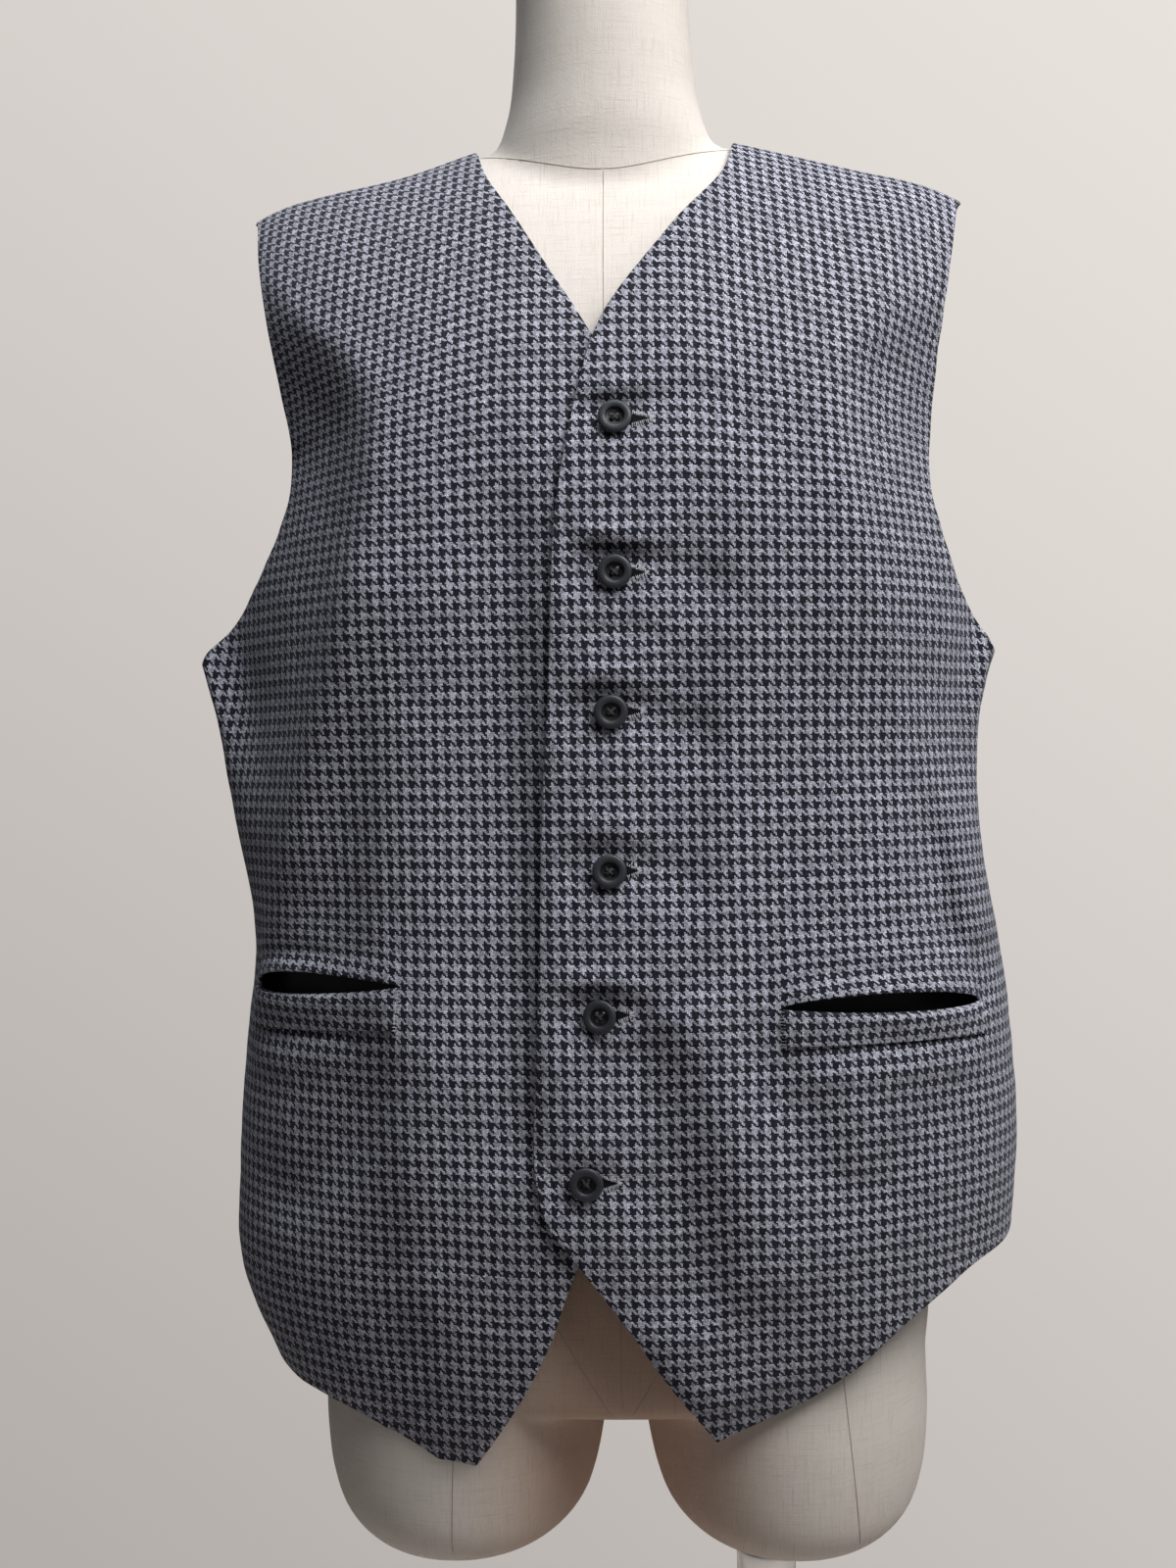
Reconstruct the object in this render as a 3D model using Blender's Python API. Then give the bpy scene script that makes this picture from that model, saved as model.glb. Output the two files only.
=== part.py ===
"""A suit waistcoat buttoned onto a linen-covered dress form that stands on a rod and a round plate.

Metres, +Z up, the front of the waistcoat faces -Y and its wearer's left is +X.
The origin is the centre of the plate's underside, where the stand rests.
Every sheet of cloth is a wall between an outer and an inner set of points. Both come from one rounded
body surface, described by the table LEVELS, in two coordinates: the angle round the body (0 at the front,
positive towards the wearer's left, 180 at the back) and the level, a running row number of the table.
"""

import math
from typing import NamedTuple

import bmesh
import bpy
import numpy as np
from mathutils import Quaternion, Vector

# Cloth
WOOL = 0.0022  # wall of the faced wool fronts
SATIN = 0.0014  # wall of the satin back
SEAM = 0.0003  # free gap between neighbouring pieces
SEAM_HALF = 0.0003  # each piece keeps this far from the middle of a seam
OVERLAP_LIFT = WOOL + 4 * SEAM  # how far the left front rides above the right one
OVERLAP_FULL = 0.030  # the lift is whole inside this distance from the centre line...
OVERLAP_GONE = 0.075  # ...and has faded out here

# Shoulders
NECK_HALF = 0.0745  # from the centre to the neck point of the shoulder seam
TIP_HALF = 0.1980  # from the centre to the outer end of the shoulder seam
LEFT_SLOPE, RIGHT_SLOPE = 0.257, 0.254  # fall of each shoulder for each metre outwards
SLOPE_START, SLOPE_SOFT = 0.055, 0.006  # where the slope begins and how gently
TIP_FROM, TIP_DROP = 0.172, 0.004  # the last part of the shoulder bends down by this much more
DIP_X, DIP_WIDTH, DIP = -0.112, 0.036, 0.0032  # the right shoulder sinks a little next to the neck
SLOPE_FROM, SLOPE_FULL = 1.14, 1.33  # heights between which the slope fades in
NAPE_FROM, NAPE_RISE = 1.345, 0.060  # where the back starts to lean away from the neck, and how high
NAPE_PUSH = 0.045  # how far it leans back at the top of the shoulders
NAPE_CLOSES = 0.010  # below the form's ridge, where its nape turns in under the neck

# Sides of the chest
TUCK_SLOPE, TUCK_SOFT = 0.60, 0.008  # how steeply the fronts turn back to the armholes, and how gently
TUCK_LOW, TUCK_FULL = 0.98, 1.10  # heights between which this fades in...
TUCK_HIGH, TUCK_GONE = 1.32, 1.39  # ...and out
TUCK_WHOLE, TUCK_ENDS = 56.0, 79.0  # angles between which it fades towards the side seams

# Pockets
MOUTH_POUT = 0.0030  # how far its lips stand out
WELT_WALL = 0.0014
POUCH_WALL = 0.0010
POUCH_DEPTH = 0.0085  # room behind the mouth
LAID_ON = 0.0005  # gap between the wool and what lies on it or behind it
WELT_TOP_DROP = 0.0006  # how far the welt's top edge stays below the lip

# Buttons
BUTTON_RADIUS = 0.0081
BUTTON_HEIGHT = 0.0034
BUTTON_RIM = 0.0036  # width of the raised rim
BUTTON_DISH = 0.0013  # how far the middle lies below the rim
BUTTON_HOLE = 0.0012
BUTTON_HOLE_OFFSET = 0.0022
BUTTON_SIDES = 20

# Dress form and stand
STUB_X = 0.0915
ROD_X, ROD_RADIUS, ROD_SIDES = 0.078, 0.0125, 24
ROD_SOCKET = 0.070  # depth of the rod in the thigh of the form
COLLAR_RADIUS, COLLAR_HEIGHT = 0.0165, 0.030
BASE_RADIUS, BASE_HEIGHT, BASE_SIDES = 0.180, 0.007, 48


class Level(NamedTuple):
    """One height of a body: half widths to the wearer's right and left, depths and how square it is."""

    z: float
    right: float
    left: float
    front: float
    back: float
    square: float


# The hanging waistcoat, from below the hem to the ridge of the shoulders.
LEVELS = (
    Level(z=0.660, right=0.1700, left=0.1890, front=0.100, back=0.094, square=2.2),
    Level(z=0.720, right=0.1905, left=0.2030, front=0.110, back=0.104, square=2.2),
    Level(z=0.780, right=0.2145, left=0.2130, front=0.119, back=0.114, square=2.2),
    Level(z=0.840, right=0.2143, left=0.2195, front=0.125, back=0.120, square=2.2),
    Level(z=0.900, right=0.2090, left=0.2172, front=0.126, back=0.118, square=2.2),
    Level(z=0.960, right=0.2026, left=0.2106, front=0.122, back=0.112, square=2.2),
    Level(z=1.020, right=0.2120, left=0.2010, front=0.118, back=0.110, square=2.2),
    Level(z=1.080, right=0.2225, left=0.2015, front=0.117, back=0.114, square=2.2),
    Level(z=1.140, right=0.2335, left=0.2185, front=0.119, back=0.120, square=2.3),
    Level(z=1.200, right=0.2160, left=0.2120, front=0.116, back=0.123, square=2.5),
    Level(z=1.260, right=0.2090, left=0.2080, front=0.103, back=0.118, square=2.8),
    Level(z=1.310, right=0.2060, left=0.2050, front=0.083, back=0.102, square=3.0),
    Level(z=1.350, right=0.2045, left=0.2040, front=0.060, back=0.078, square=3.1),
    Level(z=1.379, right=0.2040, left=0.2035, front=0.036, back=0.049, square=3.2),
    Level(z=1.398, right=0.2035, left=0.2030, front=0.015, back=0.021, square=3.2),
    Level(z=1.4040, right=0.2035, left=0.2030, front=0.000, back=0.000, square=3.2),
)


LEVEL_HEIGHT = LEVELS[5].z - LEVELS[4].z  # height of one level about the pockets


def column(table, name):
    """One named column of a table as an array."""
    return np.array([getattr(row, name) for row in table], float)


def soft_step(value, low, high):
    """0 below low, 1 above high and a smooth rise between."""
    t = np.clip((np.asarray(value, float) - low) / (high - low), 0.0, 1.0)
    return t * t * (3.0 - 2.0 * t)


def read_rows(values, at, mirror=None):
    """A smooth curve through evenly numbered values; mirror (1 or -1) reflects it past its last one."""
    values = np.asarray(values, float)
    first = 2 * values[0] - values[1]
    last = 2 * values[-1] - values[-2]
    if mirror is not None:
        last = 2 * values[-1] * (mirror < 0) + mirror * values[-2]
    padded = np.concatenate([[first], values, [last]])
    at = np.clip(np.asarray(at, float), 0, len(values) - 1)
    i = np.minimum(at.astype(int), len(values) - 2)
    t = at - i
    a, b, c, d = (padded[i + k] for k in range(4))
    return b + t / 2 * (c - a + t * (2 * a - 5 * b + 4 * c - d + t * (3 * (b - c) + d - a)))


class Body:
    """A rounded torso surface read from a table of levels."""

    def __init__(self, table, folds=(), closed=False):
        self.table = table
        self.folds = folds
        self.closed = closed
        self.top = len(table) - 1.0
        self.steps = np.linspace(0, self.top, 40 * len(table))
        self.heights = read_rows(column(table, "z"), self.steps, mirror=1)

    def read(self, name, level):
        mirror = -1 if name in ("front", "back") else 1
        return read_rows(column(self.table, name), level, mirror=mirror)

    def level_of(self, z):
        """The level whose unsloped height is z."""
        return np.interp(z, self.heights, self.steps)

    def angle_of(self, x, level):
        """The angle on the front half where the body is x from the centre plane."""
        half = np.where(x < 0, self.read("right", level), self.read("left", level))
        share = np.clip(np.abs(x) / half, 1e-6, 1 - 1e-6)
        power = self.read("square", level)
        angle = np.arctan((share**-power - 1.0) ** (-1.0 / power))
        return np.degrees(np.sign(x) * angle)

    def slope_drop(self, x, z):
        """How far the shoulder has fallen at x."""
        out = SLOPE_SOFT * np.logaddexp(0.0, (np.abs(x) - SLOPE_START) / SLOPE_SOFT)
        tip = np.maximum(np.abs(x) - TIP_FROM, 0) / (TIP_HALF - TIP_FROM)
        drop = np.where(x < 0, RIGHT_SLOPE, LEFT_SLOPE) * out + TIP_DROP * tip**2
        drop = drop + DIP * np.exp(-(((x - DIP_X) / DIP_WIDTH) ** 2))
        return drop * soft_step(z, SLOPE_FROM, SLOPE_FULL)

    def find(self, x, z):
        """Angle and level of the front's point that is seen at x and z from the front."""
        x, z = np.broadcast_arrays(np.asarray(x, float), np.asarray(z, float))
        flat = z.copy()
        for _ in range(30):
            flat = z + self.slope_drop(x, flat)
        level = self.level_of(flat)
        return self.angle_of(x, level), level

    def tuck(self, x, z, angle):
        """How far the fronts turn back past the chest, towards the armholes."""
        line = smooth_through(column(TUCK_LINE, "z"), column(TUCK_LINE, "x"), z)
        past = np.maximum(np.abs(x) - line, 0)
        depth = TUCK_SLOPE * (np.hypot(past, TUCK_SOFT) - TUCK_SOFT)
        share = soft_step(z, TUCK_LOW, TUCK_FULL) * (1 - soft_step(z, TUCK_HIGH, TUCK_GONE))
        return depth * share * (1 - soft_step(np.abs(angle), TUCK_WHOLE, TUCK_ENDS))

    def smooth_point(self, angle, level):
        turn = np.radians(angle)
        sine, cosine = np.sin(turn), np.cos(turn)
        power = self.read("square", level)
        reach = (np.abs(sine) ** power + np.abs(cosine) ** power) ** (-1.0 / power)
        half = np.where(sine < 0, self.read("right", level), self.read("left", level))
        depth = np.where(cosine > 0, self.read("front", level), self.read("back", level))
        x = half * reach * sine
        y = -depth * reach * cosine
        z = self.read("z", level)
        nape = (np.clip(1 - (x / NECK_HALF) ** 4, 0, 1) * np.clip((z - NAPE_FROM) / NAPE_RISE, 0, 1)) ** 1.5
        if self.closed:
            nape = nape * np.clip((self.table[-1].z - z) / NAPE_CLOSES, 0, 1)
        else:
            y = y + self.tuck(x, z, angle)
        y = y + NAPE_PUSH * nape * (cosine < 0)
        return np.stack([x, y, z - self.slope_drop(x, z)], axis=-1)

    def normal(self, angle, level, point=None):
        """The outward direction of the surface."""
        point = point or self.smooth_point
        turn, rise = 0.25, 0.02
        low, high = np.maximum(level - rise, 0), np.minimum(level + rise, self.top)
        across = point(angle + turn, level) - point(angle - turn, level)
        up = point(angle, high) - point(angle, low)
        at_top = (level > self.top - 1e-6)[..., None]
        # On the ridge the front runs into the back, so "up" there points along +Y or -Y.
        over = np.where(np.abs(angle) < 90, 1.0, -1.0)[..., None] * np.array([0.0, 1.0, 0.0])
        up = np.where(at_top, over, up)
        out = np.cross(across, up)
        return out / np.linalg.norm(out, axis=-1, keepdims=True)

    def fold_height(self, point):
        """Height of the soft ridges (positive) and troughs (negative) at points of the front or back."""
        total = np.zeros(point.shape[:-1])
        for fold in self.folds:
            dx, dz = point[..., 0] - fold.x, point[..., 2] - fold.z
            lean = math.radians(fold.lean)
            along = dx * math.sin(lean) + dz * math.cos(lean)
            aside = dx * math.cos(lean) - dz * math.sin(lean)
            bell = np.exp(-((aside / fold.width) ** 2) - (along / fold.reach) ** 4)
            facing = point[..., 1] < 0 if fold.front else point[..., 1] >= 0
            total += fold.height * bell * facing
        return total

    def point(self, angle, level):
        smooth = self.smooth_point(angle, level)
        return smooth + self.fold_height(smooth)[..., None] * self.normal(angle, level)


class Fold(NamedTuple):
    """A long soft ridge or, with a negative height, a trough in the cloth."""

    front: bool
    x: float
    z: float
    lean: float
    reach: float
    width: float
    height: float


FOLDS = (
    Fold(front=True, x=-0.152, z=1.062, lean=15, reach=0.100, width=0.020, height=0.0040),
    Fold(front=True, x=-0.181, z=0.950, lean=12, reach=0.045, width=0.018, height=0.0030),
    Fold(front=True, x=0.148, z=1.322, lean=18, reach=0.050, width=0.016, height=0.0030),
    Fold(front=True, x=0.048, z=0.862, lean=-12, reach=0.065, width=0.018, height=-0.0033),
    Fold(front=True, x=-0.087, z=0.812, lean=11, reach=0.080, width=0.026, height=-0.0030),
    Fold(front=True, x=0.176, z=1.110, lean=-6, reach=0.070, width=0.018, height=0.0025),
    Fold(front=False, x=0.000, z=1.000, lean=0, reach=0.120, width=0.030, height=-0.0040),
    Fold(front=False, x=0.110, z=1.030, lean=-7, reach=0.130, width=0.022, height=0.0040),
    Fold(front=False, x=-0.120, z=1.010, lean=8, reach=0.120, width=0.024, height=0.0040),
    Fold(front=False, x=0.060, z=0.850, lean=10, reach=0.070, width=0.024, height=0.0030),
    Fold(front=False, x=-0.070, z=1.260, lean=20, reach=0.060, width=0.020, height=-0.0025),
)


class Mark(NamedTuple):
    """A point of an outline as seen from the front."""

    x: float
    z: float


# Unsloped points of a line down each side of the chest; past it the fronts turn back to the armholes.
TUCK_LINE = (
    Mark(x=0.1800, z=0.9600),
    Mark(x=0.1650, z=1.0100),
    Mark(x=0.1500, z=1.0600),
    Mark(x=0.1370, z=1.1100),
    Mark(x=0.1280, z=1.1460),
    Mark(x=0.1215, z=1.1760),
    Mark(x=0.1150, z=1.2100),
    Mark(x=0.1110, z=1.2390),
    Mark(x=0.1150, z=1.2665),
    Mark(x=0.1330, z=1.2950),
    Mark(x=0.1600, z=1.3250),
    Mark(x=0.1900, z=1.3800),
)
# The front edges, from the point of the hem up the cutaway and the closing edge to the neckline.
LEFT_EDGE = (
    Mark(x=0.0478, z=0.7140),
    Mark(x=0.0236, z=0.7465),
    Mark(x=0.0037, z=0.7765),
    Mark(x=-0.0188, z=0.8071),
    Mark(x=-0.0350, z=0.8300),
    Mark(x=-0.0390, z=0.8480),
    Mark(x=-0.0385, z=0.9000),
    Mark(x=-0.0345, z=1.0100),
    Mark(x=-0.0282, z=1.1235),
    Mark(x=-0.0225, z=1.1960),
    Mark(x=-0.0135, z=1.2400),
    Mark(x=-0.0048, z=1.2706),
    Mark(x=0.0328, z=1.3286),
    Mark(x=0.0522, z=1.3542),
)
RIGHT_EDGE = (
    Mark(x=-0.0795, z=0.6900),
    Mark(x=-0.0700, z=0.7040),
    Mark(x=-0.0520, z=0.7315),
    Mark(x=-0.0370, z=0.7600),
    Mark(x=-0.0206, z=0.8035),
    Mark(x=-0.0050, z=0.8350),
    Mark(x=0.0040, z=0.8600),
    Mark(x=0.0110, z=0.9300),
    Mark(x=0.0160, z=1.0000),
    Mark(x=0.0205, z=1.1500),
    Mark(x=0.0200, z=1.2100),
    Mark(x=0.0080, z=1.2480),
    Mark(x=-0.0048, z=1.2706),
    Mark(x=-0.0364, z=1.3261),
    Mark(x=-0.0570, z=1.3620),
)
# The hems, from the point at the front to the side seam.
LEFT_HEM = (
    Mark(x=0.0478, z=0.7140),
    Mark(x=0.0769, z=0.7248),
    Mark(x=0.1137, z=0.7423),
    Mark(x=0.1450, z=0.7657),
    Mark(x=0.1770, z=0.7860),
    Mark(x=0.2060, z=0.7960),
)
RIGHT_HEM = (
    Mark(x=-0.0795, z=0.6900),
    Mark(x=-0.0880, z=0.6925),
    Mark(x=-0.1312, z=0.7152),
    Mark(x=-0.1573, z=0.7230),
    Mark(x=-0.1780, z=0.7270),
)
RIGHT_HEM_AT_SEAM, LEFT_HEM_AT_SEAM, HEM_AT_CENTRE_BACK = 0.748, 0.800, 0.768
UNDERARM = 1.1130


class Side(NamedTuple):
    """Angles of a left and a right outline at one unsloped height."""

    z: float
    left: float
    right: float


# The armhole edges, from just above the underarm to below the shoulder.
FRONT_ARMHOLE = (
    Side(z=1.1160, left=73.6, right=-75.7),
    Side(z=1.1220, left=68.0, right=-69.9),
    Side(z=1.1320, left=60.8, right=-62.1),
    Side(z=1.1480, left=53.9, right=-55.0),
    Side(z=1.1680, left=51.0, right=-50.8),
    Side(z=1.1900, left=49.5, right=-48.9),
    Side(z=1.2150, left=48.5, right=-47.6),
    Side(z=1.2450, left=48.8, right=-47.8),
    Side(z=1.2800, left=49.8, right=-50.2),
    Side(z=1.3200, left=51.9, right=-53.0),
    Side(z=1.3600, left=55.2, right=-56.8),
    Side(z=1.3850, left=58.5, right=-59.8),
)
BACK_ARMHOLE = (
    Side(z=1.1160, left=104.0, right=-104.0),
    Side(z=1.1220, left=111.0, right=-111.0),
    Side(z=1.1340, left=118.0, right=-118.0),
    Side(z=1.1540, left=123.0, right=-123.0),
    Side(z=1.1850, left=127.0, right=-127.0),
    Side(z=1.2250, left=129.5, right=-129.5),
    Side(z=1.2700, left=129.5, right=-129.5),
    Side(z=1.3200, left=126.5, right=-126.5),
    Side(z=1.3650, left=121.5, right=-121.5),
)
SIDE_SEAM = (
    Side(z=0.660, left=93.0, right=-93.0),
    Side(z=0.900, left=93.0, right=-93.0),
    Side(z=1.000, left=90.0, right=-93.0),
    Side(z=1.060, left=81.0, right=-91.0),
    Side(z=UNDERARM, left=78.5, right=-79.5),
)


class Row(NamedTuple):
    """A line across a panel: unsloped heights of its ends and the number of steps up to the next one."""

    inner: float
    outer: float
    steps: int


LEFT_ROWS = (
    Row(inner=0.7140, outer=LEFT_HEM_AT_SEAM, steps=5),
    Row(inner=0.8450, outer=0.8650, steps=2),
    Row(inner=0.9165, outer=0.9085, steps=2),
    Row(inner=0.9370, outer=0.9240, steps=2),
    Row(inner=0.9850, outer=0.9700, steps=4),
    Row(inner=1.1150, outer=UNDERARM, steps=1),
    Row(inner=1.1250, outer=1.1165, steps=1),
    Row(inner=1.1360, outer=1.1230, steps=1),
    Row(inner=1.1490, outer=1.1330, steps=1),
    Row(inner=1.1650, outer=1.1490, steps=4),
    Row(inner=1.2706, outer=1.2500, steps=6),
    Row(inner=1.4040, outer=1.4040, steps=0),
)
RIGHT_ROWS = (
    Row(inner=0.6900, outer=RIGHT_HEM_AT_SEAM, steps=5),
    Row(inner=0.8600, outer=0.8600, steps=2),
    Row(inner=0.9290, outer=0.9120, steps=2),
    Row(inner=0.9500, outer=0.9350, steps=2),
    Row(inner=0.9950, outer=0.9800, steps=4),
    Row(inner=1.1150, outer=UNDERARM, steps=1),
    Row(inner=1.1250, outer=1.1165, steps=1),
    Row(inner=1.1360, outer=1.1230, steps=1),
    Row(inner=1.1490, outer=1.1330, steps=1),
    Row(inner=1.1650, outer=1.1490, steps=4),
    Row(inner=1.2706, outer=1.2500, steps=6),
    Row(inner=1.4040, outer=1.4040, steps=0),
)
POCKET_GUIDE = 3  # which of the rows above is the pocket mouth; the one before it is the welt's seam


class Pocket(NamedTuple):
    """A pocket's mouth: the angles of its ends, its open height and the columns before, along and past it."""

    inner: float
    outer: float
    gape: float
    before: int
    along: int
    past: int


LEFT_POCKET = Pocket(inner=22.3, outer=60.0, gape=0.0096, before=4, along=8, past=4)
RIGHT_POCKET = Pocket(inner=-31.2, outer=-67.0, gape=0.0130, before=5, along=8, past=3)


class Button(NamedTuple):
    """Place of a button on the closing edge and how far it tips sideways."""

    x: float
    z: float
    tip: float


BUTTONS = (
    Button(x=0.0055, z=1.2249, tip=0),
    Button(x=0.0043, z=1.1493, tip=0),
    Button(x=0.0012, z=1.0809, tip=3),
    Button(x=-0.0006, z=1.0022, tip=0),
    Button(x=-0.0060, z=0.9314, tip=-14),
    Button(x=-0.0143, z=0.8503, tip=0),
)

# The torso of the dress form.
FORM_LEVELS = (
    Level(z=0.712, right=0.150, left=0.150, front=0.078, back=0.088, square=2.3),
    Level(z=0.724, right=0.166, left=0.166, front=0.090, back=0.102, square=2.3),
    Level(z=0.770, right=0.1715, left=0.1715, front=0.099, back=0.110, square=2.2),
    Level(z=0.830, right=0.172, left=0.172, front=0.103, back=0.113, square=2.2),
    Level(z=0.890, right=0.165, left=0.165, front=0.101, back=0.103, square=2.2),
    Level(z=0.950, right=0.152, left=0.152, front=0.094, back=0.090, square=2.2),
    Level(z=1.010, right=0.140, left=0.140, front=0.087, back=0.082, square=2.2),
    Level(z=1.060, right=0.142, left=0.142, front=0.090, back=0.086, square=2.2),
    Level(z=1.120, right=0.156, left=0.156, front=0.099, back=0.097, square=2.3),
    Level(z=1.180, right=0.159, left=0.160, front=0.104, back=0.108, square=2.4),
    Level(z=1.240, right=0.166, left=0.167, front=0.096, back=0.112, square=2.6),
    Level(z=1.295, right=0.178, left=0.178, front=0.080, back=0.101, square=2.9),
    Level(z=1.340, right=0.186, left=0.186, front=0.057, back=0.074, square=3.1),
    Level(z=1.372, right=0.190, left=0.190, front=0.034, back=0.044, square=3.2),
    Level(z=1.3939, right=0.1915, left=0.1915, front=0.013, back=0.017, square=3.2),
    Level(z=1.4009, right=0.1915, left=0.1915, front=0.000, back=0.000, square=3.2),
)


class Ring(NamedTuple):
    """One section of a limb: its height, centre, half width outwards and inwards and half depth."""

    z: float
    y: float
    outward: float
    inward: float
    half_y: float


NECK_RINGS = (
    Ring(z=1.330, y=0.010, outward=0.0700, inward=0.0700, half_y=0.0480),
    Ring(z=1.385, y=0.010, outward=0.0660, inward=0.0660, half_y=0.0480),
    Ring(z=1.402, y=0.007, outward=0.0600, inward=0.0600, half_y=0.0470),
    Ring(z=1.425, y=0.005, outward=0.0530, inward=0.0530, half_y=0.0460),
    Ring(z=1.460, y=0.003, outward=0.0495, inward=0.0495, half_y=0.0460),
    Ring(z=1.494, y=0.001, outward=0.0480, inward=0.0480, half_y=0.0455),
    Ring(z=1.504, y=0.001, outward=0.0455, inward=0.0455, half_y=0.0435),
    Ring(z=1.508, y=0.001, outward=0.0380, inward=0.0380, half_y=0.0360),
)
# The thighs meet at the crotch and part below it.
STUB_RINGS = (
    Ring(z=0.790, y=0.002, outward=0.0720, inward=0.0720, half_y=0.084),
    Ring(z=0.735, y=0.002, outward=0.0765, inward=0.0925, half_y=0.088),
    Ring(z=0.713, y=0.002, outward=0.0772, inward=0.0922, half_y=0.088),
    Ring(z=0.706, y=0.002, outward=0.0775, inward=0.0862, half_y=0.088),
    Ring(z=0.694, y=0.002, outward=0.0775, inward=0.0812, half_y=0.088),
    Ring(z=0.668, y=0.003, outward=0.0755, inward=0.0765, half_y=0.086),
    Ring(z=0.646, y=0.003, outward=0.0690, inward=0.0690, half_y=0.080),
    Ring(z=0.631, y=0.003, outward=0.0560, inward=0.0550, half_y=0.066),
    Ring(z=0.6255, y=0.003, outward=0.0400, inward=0.0400, half_y=0.048),
)
FORM_SIDES = 40
FORM_ROWS = 22
NECK_SIDES = 28
STUB_SIDES = 28


# ---------------------------------------------------------------- meshes


def add_object(name, points, faces, finish):
    """A mesh object with its own material."""
    mesh = bpy.data.meshes.new(name)
    mesh.from_pydata([tuple(point) for point in points], [], [tuple(face) for face in faces])
    mesh.validate()
    mesh.shade_smooth()
    mesh.set_sharp_from_angle(angle=math.radians(35))
    mesh.materials.append(finish)
    made = bpy.data.objects.new(name, mesh)
    bpy.context.scene.collection.objects.link(made)
    return made


def finish_of(name, colour, roughness, metallic=0.0):
    """A plain material."""
    made = bpy.data.materials.new(name)
    made.use_nodes = True
    shader = made.node_tree.nodes["Principled BSDF"]
    shader.inputs["Base Color"].default_value = (*colour, 1.0)
    shader.inputs["Roughness"].default_value = roughness
    shader.inputs["Metallic"].default_value = metallic
    return made


def add_wall(name, outer, inner, faces, finish):
    """A closed sheet between two sets of points; each face is given as it is seen from outside."""
    count = len(outer)
    faces = halved(faces, outer)
    edges = {}
    for face in faces:
        for a, b in zip(face, face[1:] + face[:1]):
            edges[a, b] = True
    rims = [(a, b) for a, b in edges if (b, a) not in edges]
    every = list(faces)
    every += [tuple(count + corner for corner in reversed(face)) for face in faces]
    every += [(b, a, count + a, count + b) for a, b in rims]
    return add_object(name, np.concatenate([outer, inner]), every, finish)


def grid_faces(rows, columns, flip=False):
    """The quads of a grid whose points are numbered along its rows."""
    faces = []
    for j in range(rows - 1):
        for i in range(columns - 1):
            corner = j * columns + i
            quad = (corner, corner + 1, corner + 1 + columns, corner + columns)
            faces.append(quad[::-1] if flip else quad)
    return faces


def halved(quads, points):
    """Quads as pairs of triangles, split from the first corner unless the other way is clearly shorter."""
    halves = []
    for a, b, c, d in quads:
        first, second = math.dist(points[a], points[c]), math.dist(points[b], points[d])
        if second < 0.8 * first:
            halves += [(a, b, d), (b, c, d)]
        else:
            halves += [(a, b, c), (a, c, d)]
    return halves


def closed_loft(rings):
    """Points and faces of a body through closed rings given from the bottom up, capped at both ends."""
    sides = len(rings[0])
    points = np.concatenate(rings)
    faces = []
    for j in range(len(rings) - 1):
        for i in range(sides):
            a, b = j * sides + i, j * sides + (i + 1) % sides
            faces.append((a, b, b + sides, a + sides))
    faces.append(tuple(reversed(range(sides))))
    faces.append(tuple(range(len(points) - sides, len(points))))
    return points, faces


def smooth_through(knots, values, at):
    """A smooth curve through values at rising knots, straight past its ends."""
    knots, values, at = (np.asarray(item, float) for item in (knots, values, at))
    slopes = np.gradient(values, knots)
    i = np.clip(np.searchsorted(knots, at) - 1, 0, len(knots) - 2)
    span = knots[i + 1] - knots[i]
    t = np.clip((at - knots[i]) / span, 0, 1)
    rise, fall = t * t * (3 - 2 * t), t * (1 - t)
    bend = fall * ((1 - t) * slopes[i] - t * slopes[i + 1]) * span
    return values[i] * (1 - rise) + values[i + 1] * rise + bend


# ---------------------------------------------------------------- panels


def side_outline(body, sign, armhole, tip, level, apart):
    """Angles of the side seam, moved apart by half a seam, and of an armhole above it up to the tip."""
    side = "left" if sign > 0 else "right"
    seam = np.interp(body.read("z", level), column(SIDE_SEAM, "z"), column(SIDE_SEAM, side))
    knots = np.concatenate([[UNDERARM], column(armhole, "z"), [body.table[-1].z]])
    angles = np.concatenate([[getattr(SIDE_SEAM[-1], side)], column(armhole, side), [tip]])
    above = smooth_through(body.level_of(knots), angles, level)
    seam = seam + math.degrees(apart / getattr(body.table[-1], side))
    return np.where(level <= body.level_of(UNDERARM) + 1e-6, seam, above)


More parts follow.
